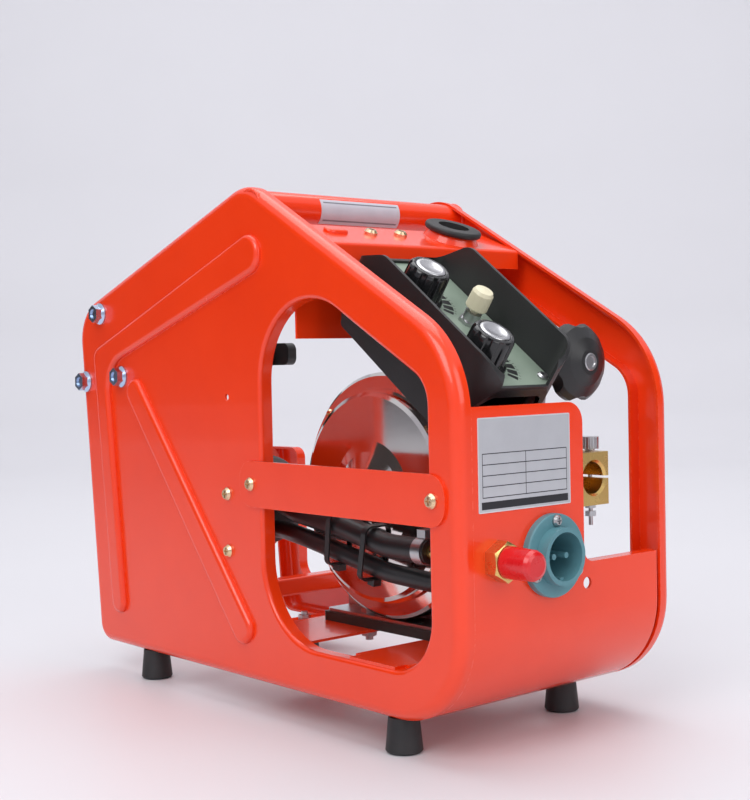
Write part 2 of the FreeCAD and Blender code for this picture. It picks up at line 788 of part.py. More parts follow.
def front_cross_plate():
    return cross_plate(front_plate_front_y, front_plate_rear_y, front_plate_front_y)


def rear_cross_plate():
    return cross_plate(rear_plate_front_y, rear_plate_rear_y, rear_plate_rear_y)


def rear_cross_rail():
    """Square tube across the rear, on the right frame's lip and a saddle on the left panel."""
    outline = rectangle(rail_y - rail_side / 2.0, rail_y + rail_side / 2.0,
                        window_bottom, window_bottom + rail_side)
    x0, x1 = left + sheet, right - sheet
    return plate_x(outline, 2.0, x0, x1).cut(plate_x(inset(outline, sheet), 0.5, x0 - 1.0, x1 + 1.0))


def mount_bolt_places():
    """(x, y, seat height) of the bolts through the motor bracket and the cross plates."""
    xs = (motor_body_x + 12.0, motor_body_x + 70.0)
    ys = (front_plate_rear_y - 10.0, rear_plate_front_y + 16.0)
    return [(x, y, bracket_top()) for x in xs for y in ys]


def insulating_plate():
    x0 = motor_body_x + 2.0
    plate = plate_z(rectangle(x0, x0 + 76.0, insulator_y0, insulator_y1), 3.0,
                    cross_plate_top, cross_plate_top + insulator_thickness)
    for x, y, _ in mount_bolt_places():
        plate = plate.cut(rod_z(x, y, 3.2, 50.0, 75.0))
    return plate


def bracket_top():
    """Upper face of the motor bracket's base."""
    return cross_plate_top + insulator_thickness + 2.5


def motor_bracket():
    """Base flange on the insulating plate with an upright that carries the motor's back."""
    x0 = motor_body_x + 4.0
    low = cross_plate_top + insulator_thickness
    base = plate_z(rectangle(x0, x0 + 72.0, insulator_y0 + 2.0, insulator_y1 - 2.0), 4.0,
                   low, bracket_top())
    upright = plate_x([(insulator_y0 + 2.0, low), (insulator_y1 - 2.0, low),
                       (insulator_y1 - 2.0, 92.0), (motor_y + 40.0, 118.0), (motor_y - 40.0, 118.0),
                       (insulator_y0 + 2.0, 92.0)], [0.0, 0.0, 10.0, 14.0, 14.0, 10.0],
                      housing_x, housing_x + 3.0)
    bracket = fused([base, upright])
    for x, y, _ in mount_bolt_places():
        bracket = bracket.cut(rod_z(x, y, 3.2, low - 1.0, bracket_top() + 1.0))
    return bracket


def mount_bolts():
    """M6 bolts with flange nuts under the cross plates."""
    bolts = []
    low = cross_plate_top - sheet
    for x, y, seat in mount_bolt_places():
        parts = [rod_z(x, y, 3.0, low - 9.0, seat),
                 plate_z(hexagon(x, y, 10.0), 0.0, seat, seat + 4.0),
                 rod_z(x, y, 6.5, low - 1.2, low),
                 plate_z(hexagon(x, y, 10.0), 0.0, low - 6.0, low - 1.2)]
        bolts.append(fused(parts))
    return group(bolts)


# ---------------------------------------------------------------------------
# Motor, gears and shaft
# ---------------------------------------------------------------------------
def motor_cover():
    """Bright pressed cover with a stepped rim and a conical boss."""
    x = motor_face_x
    r = motor_cover_radius
    wall = 1.6
    outer = [(x - 12.0, 0.0), (x - 12.0, 9.0), (x - 9.5, 13.0), (x - 2.0, 33.0), (x, 41.0),
             (x, r - 3.0), (x + 1.5, r), (x + 5.5, r), (x + 6.3, r - 2.2), (x + 7.6, r - 2.2),
             (x + 8.4, r + 2.2), (x + motor_cover_depth, r + 2.2)]
    inner = [(x + motor_cover_depth, r - 4.0), (x + wall, r - 4.6), (x + wall, 40.0),
             (x - 0.8, 32.0), (x - 8.2, 12.0), (x - 10.4, 8.0), (x - 10.4, 0.0)]
    return turned_x(outer + inner, motor_y, motor_z)


def motor_body():
    """Large flat motor body, hollow for the disc rotor."""
    x0, x1 = motor_body_x, housing_x
    r = motor_body_radius
    body = turned_x([(x0, 30.0), (x0, r - 3.0), (x0 + 2.0, r - 0.6), (x0 + 4.0, r),
                     (x1 - 3.0, r), (x1, r - 3.0), (x1, 12.0), (x1 - 5.0, 12.0),
                     (x1 - 5.0, r - 14.0), (x0 + 5.0, r - 14.0), (x0 + 5.0, 30.0)],
                    motor_y, motor_z)
    for y, z in rim_screw_places():
        body = body.cut(rod_x(y, z, 2.1, x0 - 1.0, x0 + 10.0))
    return body


def rim_screw_places():
    """Centres of the four screws on the motor body's rim."""
    pitch = motor_body_radius - 7.5
    angles = [math.radians(45 + 90 * k) for k in range(4)]
    return [(motor_y + pitch * math.cos(t), motor_z + pitch * math.sin(t)) for t in angles]


def motor_rim_screws():
    screw = pan_screw(2.0, 3.8, 2.8, 8.0)
    return group([placed(screw, (motor_body_x, y, z), (-1, 0, 0)) for y, z in rim_screw_places()])


def gear_outline(teeth, y, z, phase):
    """Points of a spur gear with straight-flanked teeth; phase is the first tooth's angle."""
    pitch = gear_module * teeth / 2.0
    root, tip = pitch - 1.35 * gear_module, pitch + 0.85 * gear_module
    step = 2.0 * math.pi / teeth
    points = []
    for k in range(teeth):
        middle = phase + k * step
        for offset, radius in ((-0.33, root), (-0.12, tip), (0.12, tip), (0.33, root)):
            angle = middle + offset * step
            points.append((y + radius * math.cos(angle), z + radius * math.sin(angle)))
    return points


def gear_x():
    """Left face of the gear pair."""
    return housing_x + 9.0


def motor_rotor():
    """Disc armature on its shaft, with the pinion cut at the shaft's end."""
    x0 = motor_body_x + 9.0
    disc = rod_x(motor_y, motor_z, motor_body_radius - 17.0, x0, x0 + 4.0)
    hub = rod_x(motor_y, motor_z, 22.0, motor_body_x + 6.5, housing_x - 6.0)
    shaft = rod_x(motor_y, motor_z, 4.0, motor_body_x - 14.0, gear_x() + gear_width + 2.0)
    pinion = plate_x(gear_outline(pinion_teeth, motor_y, motor_z, gear_line + math.pi), 0.0,
                     gear_x(), gear_x() + gear_width)
    return fused([disc, hub, shaft, pinion])


def drive_gear():
    """Wheel on the drive shaft; a gap between teeth faces the pinion's tooth."""
    half_step = math.pi / gear_teeth
    gear = plate_x(gear_outline(gear_teeth, shaft_y, shaft_z, gear_line + half_step), 0.0,
                   gear_x(), gear_x() + gear_width)
    gear = gear.fuse(rod_x(shaft_y, shaft_z, 11.0, gear_x() - 3.0, gear_x() + gear_width + 3.0))
    return gear.cut(rod_x(shaft_y, shaft_z, shaft_radius, gear_x() - 5.0, gear_x() + gear_width + 5.0))


def drive_shaft():
    return rod_x(shaft_y, shaft_z, shaft_radius, housing_x + 3.3, wire_x + roll_width / 2.0 + 7.0)


def housing_outline(extra):
    """Outline round the gear pair: a rounded box of the gear's height."""
    reach = gear_module * (gear_teeth / 2.0 + 1.0) + 2.0 + extra
    points = rectangle(shaft_y - reach, motor_y + 22.0 + extra, shaft_z - reach, shaft_z + reach)
    return points, [reach * 0.55, 16.0 + extra, 16.0 + extra, reach * 0.55]


def gearbox_housing():
    """Cast housing on the motor's back, open on the feed side."""
    outline, radii = housing_outline(housing_wall)
    shell = plate_x(outline, radii, housing_x, feed_plate_x0)
    outline, radii = housing_outline(0.0)
    shell = shell.cut(plate_x(outline, radii, housing_x + 3.0, feed_plate_x0 + 1.0))
    boss = rod_x(shaft_y, shaft_z, 14.5, housing_x, housing_x + 3.0 + 0.2)
    shell = shell.fuse(boss)
    return shell.cut(rod_x(motor_y, motor_z, 4.0 + running_gap, housing_x - 1.0, housing_x + 5.0))


def shaft_bearings():
    """Ring bearings in the housing's back wall and in the feed plate."""
    rings = []
    for x0, x1 in ((housing_x + 3.0 + 0.2, housing_x + 9.0 - 3.5),
                   (feed_plate_x0, feed_plate_x0 + 7.0)):
        ring = rod_x(shaft_y, shaft_z, 11.0, x0, x1)
        rings.append(ring.cut(rod_x(shaft_y, shaft_z, shaft_radius + running_gap, x0 - 1.0, x1 + 1.0)))
    return group(rings)


# ---------------------------------------------------------------------------
# Wire drive
# ---------------------------------------------------------------------------
arm_pivot_y = shaft_y - 34.0
arm_pivot_z = wire_z + 27.0
rod_pivot_y = shaft_y + 34.0
pin_radius = 4.0
cheek = 3.0
arm_slot_y = (star_knob_face_y + star_knob_depth + 18.0, star_knob_face_y + star_knob_depth + 26.0)


def feed_plate():
    """Machined plate over the gearbox with lugs for the guide, the block and the hinge pins."""
    x0, x1 = feed_plate_x0, feed_plate_x1
    outline, _ = housing_outline(housing_wall)
    low_z, high_z = outline[0][1], outline[2][1]
    front_y = block_front_y + block_depth + 1.0
    rear_y = motor_y + 22.0 + housing_wall
    plate = plate_x([(front_y, low_z + 14.0), (rear_y, low_z + 14.0), (rear_y, high_z),
                     (front_y, high_z)], [8.0, 12.0, 12.0, 8.0], x0, x1)
    guide_lug = box(x1 - 1.0, wire_x + 8.0, rear_y - 18.0, rear_y - 4.0, wire_z - 9.0, wire_z + 9.0)
    block_lug = box(x1 - 1.0, wire_x + 8.0, front_y, front_y + 5.0, wire_z - 12.0, wire_z + 12.0)
    rod_post = plate_x([(rod_pivot_y - 9.0, high_z - 20.0), (rod_pivot_y + 9.0, high_z - 20.0),
                        (rod_pivot_y + 9.0, star_knob_z + 9.0), (rod_pivot_y - 9.0, star_knob_z + 9.0)],
                       [0.0, 0.0, 7.0, 7.0], x0, x1)
    pivot_boss = rod_x(arm_pivot_y, arm_pivot_z, 9.0, x0, x1)
    plate = fused([plate, guide_lug, block_lug, rod_post, pivot_boss])
    plate = plate.cut(rod_y(wire_x, wire_z, 5.0, front_y - 1.0, rear_y))
    seat = rod_x(shaft_y, shaft_z, 11.0, x0 - 1.0, x0 + 7.0)
    throat = rod_x(shaft_y, shaft_z, 8.0, x0, x1 + 1.0)
    pins = [rod_x(y, z, pin_radius, x0 - 1.0, x1 + 1.0) for y, z in pin_places()]
    for tool in [seat, throat] + pins:
        plate = plate.cut(tool)
    return plate


def pin_places():
    """(y, z) of the arm's pivot pin and the tension rod's swing pin."""
    return [(arm_pivot_y, arm_pivot_z), (rod_pivot_y, star_knob_z)]


def hinge_pins():
    pins = []
    for y, z in pin_places():
        pins.append(fused([rod_x(y, z, pin_radius, feed_plate_x0, wire_x + 13.0),
                           rod_x(y, z, pin_radius + 2.5, wire_x + 11.0, wire_x + 13.0)]))
    return group(pins)


def drive_roll():
    """Grooved steel roll."""
    x0, x1 = wire_x - roll_width / 2.0, wire_x + roll_width / 2.0
    r = drive_roll_radius
    bore = shaft_radius
    return turned_x([(x0, bore), (x0, r - 0.8), (x0 + 0.8, r), (wire_x - 0.6, r), (wire_x, r - 0.6),
                     (wire_x + 0.6, r), (x1 - 0.8, r), (x1, r - 0.8), (x1, bore)],
                    shaft_y, shaft_z)


def roll_retainer():
    """Knurled nut on the shaft's end."""
    x0 = wire_x + roll_width / 2.0
    nut = rod_x(shaft_y, shaft_z, 9.0, x0, x0 + 9.0)
    nut = nut.cut(rod_x(shaft_y, shaft_z, shaft_radius, x0 - 1.0, x0 + 7.0))
    for k in range(16):
        t = 2.0 * math.pi * k / 16
        nut = nut.cut(rod_x(shaft_y + 9.4 * math.cos(t), shaft_z + 9.4 * math.sin(t), 0.9,
                            x0 - 1.0, x0 + 10.0))
    return nut


def wire_guides():
    """Inlet guide tube behind the rolls and outlet guide in front of them."""
    tip = 12.0
    rear_y = motor_y + 22.0 + housing_wall
    inlet = turned_y([(shaft_y + tip, 1.2), (shaft_y + tip, 2.4), (shaft_y + tip + 10.0, 5.0),
                      (rear_y - 3.9, 5.0), (rear_y - 3.9, 7.5), (rear_y + 6.0, 7.5),
                      (rear_y + 10.0, 6.0), (rear_y + 10.0, 1.2)], wire_x, wire_z)
    front_y = block_front_y + block_depth
    outlet = turned_y([(front_y, 1.2), (front_y, 5.0), (shaft_y - tip - 8.0, 5.0),
                       (shaft_y - tip, 2.4), (shaft_y - tip, 1.2)], wire_x, wire_z)
    return group([inlet, outlet])


def pressure_arm():
    """Bell crank: two cheeks carry the roll behind the pivot, a forked upright takes the rod."""
    x0, x1 = wire_x - roll_width / 2.0 - cheek + 0.4, wire_x + roll_width / 2.0 + cheek - 0.4
    top = star_knob_z + 8.0
    slot0, slot1 = arm_slot_y
    side = [(arm_pivot_y - 9.0, arm_pivot_z - 9.0), (arm_pivot_y + 9.0, arm_pivot_z - 9.0),
            (shaft_y, pressure_roll_z - 8.0), (shaft_y + 9.0, pressure_roll_z - 8.0),
            (shaft_y + 9.0, pressure_roll_z + 9.0), (slot1 + 4.0, arm_pivot_z + 16.0), (slot1, top),
            (slot0, top), (arm_pivot_y - 9.0, arm_pivot_z + 12.0)]
    radii = [7.0, 4.0, 4.0, 6.0, 6.0, 5.0, 3.0, 3.0, 8.0]
    arm = plate_x(side, radii, x0, x1)
    roll_space = box(x0 + cheek, x1 - cheek, shaft_y - pressure_roll_radius - 3.0, shaft_y + 20.0,
                     pressure_roll_z - 20.0, pressure_roll_z + pressure_roll_radius + 1.5)
    rod_slot = box(wire_x - 4.5, wire_x + 4.5, slot0 - 30.0, slot1 + 20.0, star_knob_z - 5.0, top + 1.0)
    arm = arm.cut(roll_space).cut(rod_slot)
    arm = arm.cut(rod_x(arm_pivot_y, arm_pivot_z, pin_radius + running_gap, x0 - 1.0, x1 + 1.0))
    return arm.fuse(rod_x(shaft_y, pressure_roll_z, 3.0, x0, x1)).removeSplitter()


def pressure_roll():
    half = roll_width / 2.0 - 0.9
    roll = rod_x(shaft_y, pressure_roll_z, pressure_roll_radius, wire_x - half, wire_x + half)
    return roll.cut(rod_x(shaft_y, pressure_roll_z, 3.0 + running_gap, wire_x - 10.0, wire_x + 10.0))


def tension_rod():
    """Eye bolt that swings on its pin and carries the star knob."""
    eye = rod_x(rod_pivot_y, star_knob_z, 7.5, wire_x - 4.0, wire_x + 4.0)
    rod = rod_y(wire_x, star_knob_z, 3.5, star_knob_face_y + 3.0, rod_pivot_y - 3.0)
    return fused([eye, rod]).cut(rod_x(rod_pivot_y, star_knob_z, pin_radius + running_gap,
                                       wire_x - 10.0, wire_x + 10.0))


def tension_spring():
    """Spring sleeve between the knob and the arm, drawn as the coil's envelope with grooves."""
    y0, y1 = star_knob_face_y + star_knob_depth + 1.0, arm_slot_y[0] - 1.5
    turns = 5
    pitch = (y1 - y0) / turns
    points = [(y0, 4.0), (y0, 6.5)]
    for k in range(turns):
        start = y0 + k * pitch
        points += [(start + pitch * 0.35, 7.2), (start + pitch * 0.65, 7.2), (start + pitch, 5.6)]
    points += [(y1, 4.0)]
    return turned_y(points, wire_x, star_knob_z)


def tension_knob():
    """Scalloped knob facing the front, with its metal ring let in."""
    y0, y1 = star_knob_face_y, star_knob_face_y + star_knob_depth
    r = star_knob_radius
    body = turned_y([(y0, 0.0), (y0, 9.0), (y0 + 3.0, 17.0), (y0 + 8.0, r - 3.0), (y0 + 12.0, r),
                     (y0 + 16.0, r), (y0 + 19.0, r - 4.0), (y0 + 21.0, 14.0), (y1, 11.0), (y1, 0.0)],
                    wire_x, star_knob_z)
    for k in range(6):
        t = math.radians(60.0 * k + 30.0)
        body = body.cut(rod_y(wire_x + 37.0 * math.cos(t), star_knob_z + 37.0 * math.sin(t), 13.0,
                              y0 - 1.0, y1 + 1.0))
    return body.cut(rod_y(wire_x, star_knob_z, 3.5 + running_gap, y0 - 1.0, y1 + 1.0))


def torch_clamp_block():
    """Brass block with a bore for the torch and a split on its right side."""
    half = block_width / 2.0
    y0, y1 = block_front_y, block_front_y + block_depth
    lead_in = 1.7
    block = box(wire_x - half, wire_x + half, y0, y1, block_bottom, block_top)
    block = block.cut(rod_y(wire_x, wire_z, block_bore_radius, y0 - 1.0, y1 - 3.0))
    block = block.cut(Part.makeCone(block_bore_radius + lead_in, block_bore_radius, lead_in,
                                    V(wire_x, y0, wire_z), V(0, 1, 0)))
    block = block.cut(rod_y(wire_x, wire_z, 5.0, y0, y1 + 1.0))
    block = block.cut(box(wire_x + 2.0, wire_x + half + 1.0, y0 - 1.0, y1 + 1.0,
                          wire_z - 0.9, wire_z + 0.9))
    x, y = clamp_screw_place()
    return block.cut(rod_z(x, y, 1.5 + running_gap, block_bottom - 1.0, block_top + 1.0))


def clamp_screw_place():
    """(x, y) of the vertical clamp screw in the block's right side."""
    return wire_x + block_width / 2.0 - 2.0, block_front_y + 15.0


def clamp_screw():
    """Knurled screw that closes the split."""
    x, y = clamp_screw_place()
    low = block_top + fit_gap
    head = rod_z(x, y, 6.6, low + 1.0, low + 9.5)
    for k in range(20):
        t = 2.0 * math.pi * k / 20
        head = head.cut(rod_z(x + 6.8 * math.cos(t), y + 6.8 * math.sin(t), 0.5, low, low + 12.0))
    return fused([head, rod_z(x, y, 3.6, low, low + 1.2),
                  rod_z(x, y, 1.5, block_bottom - 16.0, low + 1.0)])


def clamp_nuts():
    """Two small nuts under the block."""
    x, y = clamp_screw_place()
    nuts = []
    for drop in (fit_gap, 6.0):
        top = block_bottom - drop
        nut = plate_z(hexagon(x, y, 7.0), 0.0, top - 3.6, top)
        nuts.append(nut.cut(rod_z(x, y, 1.5 + running_gap, top - 5.0, top + 1.0)))
    return group(nuts)


# ---------------------------------------------------------------------------
# Gas and control inlets
# ---------------------------------------------------------------------------
def gas_inlet():
    """Hexagon fitting in the front panel with a hose tail inside."""
    nut = plate_y(hexagon(gas_x, gas_z, gas_nut_size), 0.0, -gas_nut_depth, 0.0)
    crown = turned_y([(-gas_nut_depth, 0.0), (-gas_nut_depth, gas_nut_size / 2.0 - 0.5),
                      (-gas_nut_depth + 1.6, gas_nut_size / 2.0 + 2.2), (0.0, gas_nut_size / 2.0 + 2.2),
                      (0.0, 0.0)], gas_x, gas_z)
    stem = turned_y([(gas_cap_tip + 6.0, 0.0), (gas_cap_tip + 6.0, gas_stem_radius - 1.0),
                     (gas_cap_tip + 7.0, gas_stem_radius), (16.0, gas_stem_radius), (18.0, 5.0),
                     (nipple_tip, 5.0), (nipple_tip, 0.0)], gas_x, gas_z)
    back_nut = plate_y(hexagon(gas_x, gas_z, gas_nut_size), 0.0, sheet, sheet + 6.0)
    fitting = fused([nut.common(crown), stem, back_nut])
    return fitting.cut(rod_y(gas_x, gas_z, 3.5, gas_cap_tip, nipple_tip + 1.0))


def gas_cap():
    """Push-on dust cap over the stem."""
    inner = gas_stem_radius + fit_gap
    return turned_y([(-gas_nut_depth - fit_gap, inner), (-gas_nut_depth - fit_gap, gas_cap_radius),
                     (gas_cap_tip + 3.5, gas_cap_radius - 0.6), (gas_cap_tip + 1.0, gas_cap_radius - 1.8),
                     (gas_cap_tip, gas_cap_radius - 4.0), (gas_cap_tip, 0.0), (gas_cap_tip + 3.0, 0.0),
                     (gas_cap_tip + 3.0, inner)], gas_x, gas_z)


def socket_screw_places():
    """(x, z) of the three screws round the control socket."""
    angles = [math.radians(a) for a in (90.0, 210.0, 330.0)]
    pitch = socket_flange_radius - 4.6
    return [(socket_x + pitch * math.cos(t), socket_z + pitch * math.sin(t)) for t in angles]


def control_socket():
    """Round flanged socket with a raised collar, a deep well and two contact pins."""
    flange = rod_y(socket_x, socket_z, socket_flange_radius, -socket_flange_depth, 0.0)
    flange = flange.makeFillet(1.2, [e for e in flange.Edges
                                     if e.Closed and abs(e.valueAt(0).y + socket_flange_depth) < 0.01])
    collar = rod_y(socket_x, socket_z, socket_collar_radius, socket_collar_tip, 22.0)
    shell = flange.fuse(collar)
    shell = shell.cut(rod_y(socket_x, socket_z, socket_well_radius, socket_collar_tip - 1.0, 14.0))
    for x, z in socket_screw_places():
        shell = shell.cut(rod_y(x, z, 2.1, -10.0, 1.0))
    key = box(socket_x - 2.0, socket_x + 2.0, socket_collar_tip + 4.0, 14.5,
              socket_z - socket_well_radius - 0.5, socket_z - socket_well_radius + 2.0)
    pins = []
    for dx in (-6.0, 6.0):
        pins.append(rod_y(socket_x + dx, socket_z, 1.9, -8.0, 14.0))
    return group([shell.fuse(key).removeSplitter()] + pins)


def small_screws():
    """M4 pan-head screws: three on the control socket and four on the control plate."""
    screw = pan_screw(2.0, 3.9, 2.6, 8.0)
    screws = [placed(screw, (x, -socket_flange_depth, z), (0, -1, 0))
              for x, z in socket_screw_places()]
    for x, s in plate_screw_places():
        screws.append(tilted(placed(screw, (x, s, box_plate), (0, 0, 1))))
    return group(screws)


def boot_bracket():
    """Bracket on the left panel that carries the hose boot at its rear."""
    rear = boot_y + boot_length
    wing = plate_x(rectangle(240.0, rear + sheet, boot_z - 42.0, boot_z + 42.0),
                   [12.0, 0.0, 0.0, 12.0], left + sheet, left + 2.0 * sheet)
    wall = plate_y(rectangle(left + sheet, boot_x + 31.0, boot_z - 42.0, boot_z + 42.0),
                   [0.0, 14.0, 14.0, 0.0], rear, rear + sheet)
    bracket = wing.fuse(wall).cut(rod_y(boot_x, boot_z, 26.0, rear - 1.0, rear + 5.0))
    for y, z in side_screw_places()[0]:
        bracket = bracket.cut(rod_x(y, z, 2.6, left, left + 10.0))
    return bracket.removeSplitter()


def hose_boot():
    """Rubber boot where the hose and the lead leave, with a gland nut behind the bracket."""
    y0, y1 = boot_y, boot_y + boot_length
    r = boot_radius
    reach = r - 6.5
    boot = turned_y([(y0 - 14.0, 0.0), (y0 - 14.0, 20.0), (y0 - 9.0, 28.0), (y0, reach),
                     (y0 + 6.0, r - 4.5), (y0 + 9.0, r - 8.0), (y0 + 12.0, r - 4.5),
                     (y1 - 10.0, r - 2.0), (y1 - 4.0, r - 4.0), (y1, r - 4.0), (y1, 25.7),
                     (y1 + sheet, 25.7), (y1 + sheet, 31.0), (y1 + 14.0, 31.0), (y1 + 17.0, 28.0),
                     (y1 + 17.0, 0.0)], boot_x, boot_z)
    inlet = rod_y(boot_x, boot_z, 15.0, y1 + 4.0, y1 + 20.0)
    boot = boot.cut(inlet)
    gas, lead = hose_points()
    for (x, y, z), radius in ((gas[-1], gas_hose_radius), (lead[-1], lead_radius)):
        boot = boot.cut(rod_y(x, z, radius + fit_gap, y0 - 20.0, y + 0.5))
    return boot


def hose_points():
    """Corner points of the gas hose and of the control lead."""
    gas = [(gas_x, nipple_tip - 12.0, gas_z), (gas_x, 79.0, gas_z), (left + 34.5, 106.0, 131.5),
           (left + 36.5, 152.0, 140.0), (left + 41.0, 215.0, 147.0), (left + 45.0, 246.0, 154.0),
           (left + 45.0, boot_y, 154.0)]
    lead = [(socket_x, 23.0, socket_z), (socket_x, 38.0, socket_z), (left + 52.0, 66.0, 106.0),
            (left + 39.5, 112.0, 112.0), (left + 39.5, 205.0, 128.5), (left + 50.0, 246.0, 130.0),
            (left + 50.0, boot_y, 130.0)]
    return gas, lead


def gas_hose():
    """Hose from the inlet's tail to the boot."""
    points, _ = hose_points()
    hose = routed_tube(points, [60.0, 90.0, 110.0, 90.0, 60.0], gas_hose_radius)
    return hose.cut(rod_y(gas_x, gas_z, 5.0, points[0][1] - 1.0, nipple_tip + 0.5))


def control_lead():
    """Lead from the back of the control socket to the boot."""
    _, points = hose_points()
    return routed_tube(points, [16.0, 30.0, 60.0, 90.0, 50.0], lead_radius)


def on_run(points, run, y):
    """The point at depth y on one straight run of a hose's corner points."""
    start, end = V(*points[run]), V(*points[run + 1])
    return start + (end - start) * ((y - start.y) / (end.y - start.y))


def cable_ties():
    """Flat bands round the hose and the lead, each with a square head underneath."""
    gas, lead = hose_points()
    upper, lower, thick = gas_hose_radius + 1.0, lead_radius + 1.0, 1.3
    ties = []
    for y, run in ((122.0, 2), (163.0, 3)):
        high, low = on_run(gas, run, y), on_run(lead, 3, y)
        step = V(*gas[run + 1]) - V(*gas[run])
        slope = math.atan2(step.z, step.y)
        shift = low.x - high.x
        base = -(high.z - low.z) * math.cos(slope) - lower
        inner = rectangle(min(-upper, shift - lower), max(upper, shift + lower), base, upper)
        band = plate_y(inset(inner, -thick), 5.0 + thick, -2.3, 2.3).cut(plate_y(inner, 5.0, -3.0, 3.0))
        head = box(shift - 3.5, shift + 3.5, -3.4, 3.4, base - 5.5, base - thick / 2.0)
        tie = band.fuse(head).removeSplitter()
        tie.rotate(V(0, 0, 0), V(1, 0, 0), math.degrees(slope))
        tie.translate(high)
        ties.append(tie)
    return group(ties)


def hose_clamp():
    """Band that holds the hose on the inlet's tail, with its screw on top."""
    reach = gas_hose_radius
    y0, y1 = nipple_tip - 10.0, nipple_tip - 1.0
    band = rod_y(gas_x, gas_z, reach + 1.0, y0, y1).cut(rod_y(gas_x, gas_z, reach, y0 - 1.0, y1 + 1.0))
    housing = box(gas_x - 3.0, gas_x + 8.0, y0 + 0.5, y1 - 0.5, gas_z + reach + 0.6,
                  gas_z + reach + 6.0)
    screw = rod_x((y0 + y1) / 2.0, gas_z + reach + 3.6, 2.6, gas_x + 8.0, gas_x + 13.0)
    return fused([band, housing, screw])


# ---------------------------------------------------------------------------
# Controls
# ---------------------------------------------------------------------------
def box_plan(gap):
    """Plan of the control box in its own frame, moved inwards by gap."""
    outline = rectangle(box_x0 + gap, box_x1 - gap, box_low + gap, box_high - gap)
    return outline, [box_corner - gap, box_corner - gap, 8.0 - gap, 8.0 - gap]


def guard_profile(height):
    """Side outline of the control box with its guard wall, as (along slope, off slope)."""
    points = [(box_low + 15.0, box_floor), (box_high - 13.0, box_floor), (box_high, box_plate - 10.0),
              (box_high, box_plate + 3.0), (box_high - 24.0, height), (box_low, height),
              (box_low, box_plate)]
    return points, [4.0, 4.0, 8.0, 2.0, 14.0, 18.0, 0.0]


def control_box():
    """Black tray with a guard wall on each side, held at its front and rear by tabs."""
    outline, radii = box_plan(0.0)
    tray = plate_z(outline, radii, box_floor, box_right_guard + 1.0)
    middle = (box_x0 + box_x1) / 2.0
    left_points, left_radii = guard_profile(box_left_guard)
    right_points, right_radii = guard_profile(box_right_guard)
    sides = fused([plate_x(left_points, left_radii, box_x0 - 1.0, middle),
                   plate_x(right_points, right_radii, middle, box_x1 + 1.0)])
    tray = tray.common(sides)
    outline, radii = box_plan(box_wall)
    tray = tray.cut(plate_z(outline, radii, box_floor + box_wall, box_right_guard + 10.0))
    tray = tray.cut(box(box_x0 + box_wrap, box_x1 - box_wrap, box_low - 1.0, box_high + 1.0,
                        box_rim, box_right_guard + 5.0))
    for x, s in plate_screw_places():
        post = rod_z(x, s, 4.2, box_floor + 1.0, box_plate - sheet)
        tray = tray.fuse(post).cut(rod_z(x, s, 2.0, box_plate - 12.0, box_plate))
    tray = tilted(tray)
    web = channel_rear_y - sheet
    tabs = [box(middle - 15.0, middle + 15.0, 149.5, web, 303.0, 305.0),
            box(middle - 15.0, middle + 15.0, web - sheet, web, 292.0, 305.0),
            box(middle - 13.0, middle + 13.0, sheet, 34.0, 221.0, 223.0),
            box(middle - 13.0, middle + 13.0, sheet, 2.0 * sheet, 203.0, 223.0)]
    return fused([tray] + tabs)


def plate_screw_places():
    """(x, place along the slope) of the control plate's corner screws."""
    inset_x, inset_s = 10.0, 13.0
    return [(x, s) for x in (box_x0 + inset_x, box_x1 - inset_x)
            for s in (box_low + inset_s, box_high - inset_s)]


def control_plate():
    outline, radii = box_plan(box_wall + fit_gap)
    plate = plate_z(outline, radii, box_plate - sheet, box_plate)
    for s in knob_places:
        plate = plate.cut(rod_z(knob_x, s, 3.5, box_plate - 5.0, box_plate + 1.0))
    plate = plate.cut(rod_z(button_x, button_place, 6.2, box_plate - 5.0, box_plate + 1.0))
    for x, s in plate_screw_places():
        plate = plate.cut(rod_z(x, s, 2.1, box_plate - 5.0, box_plate + 1.0))
    return tilted(plate)


def control_knob(place):
    """Fluted knob with a thin skirt, a bright insert and its spindle."""
    z0 = box_plate + 1.0
    z1 = box_plate + knob_height
    body = turned_z([(0.0, z0 + 1.5), (knob_skirt_radius - 0.5, z0), (knob_skirt_radius, z0 + 0.8),
                     (knob_skirt_radius, z0 + 2.6), (knob_radius + 0.4, z0 + 4.0),
                     (knob_radius - 0.6, z1 - 2.0), (knob_radius - 2.2, z1 - 0.4),
                     (knob_radius - 3.2, z1), (0.0, z1)], knob_x, place)
    for k in range(10):
        t = 2.0 * math.pi * k / 10
        body = body.cut(rod_z(knob_x + 18.4 * math.cos(t), place + 18.4 * math.sin(t), 4.0,
                              z0 + 4.4, z1 + 1.0))
    seat_radius = knob_radius - 3.6
    body = body.cut(rod_z(knob_x, place, seat_radius, z1 - 0.8, z1 + 1.0))
    spindle = rod_z(knob_x, place, 3.0, box_plate - 17.0, z0 + 3.0)
    insert = rod_z(knob_x, place, seat_radius, z1 - 0.8, z1 + 0.3)
    return tilted(group([fused([body, spindle]), insert]))


def potentiometers():
    """Bodies of the two potentiometers under the control plate."""
    pots = []
    for s in knob_places:
        can = rod_z(knob_x, s, 12.0, box_plate - 22.0, box_plate - sheet - 1.0)
        bush = rod_z(knob_x, s, 3.4, box_plate - sheet - 1.5, box_plate + 0.5)
        can = fused([can, bush])
        pots.append(tilted(can.cut(rod_z(knob_x, s, 3.0 + running_gap, box_plate - 18.0, box_plate + 2.0))))
    return group(pots)


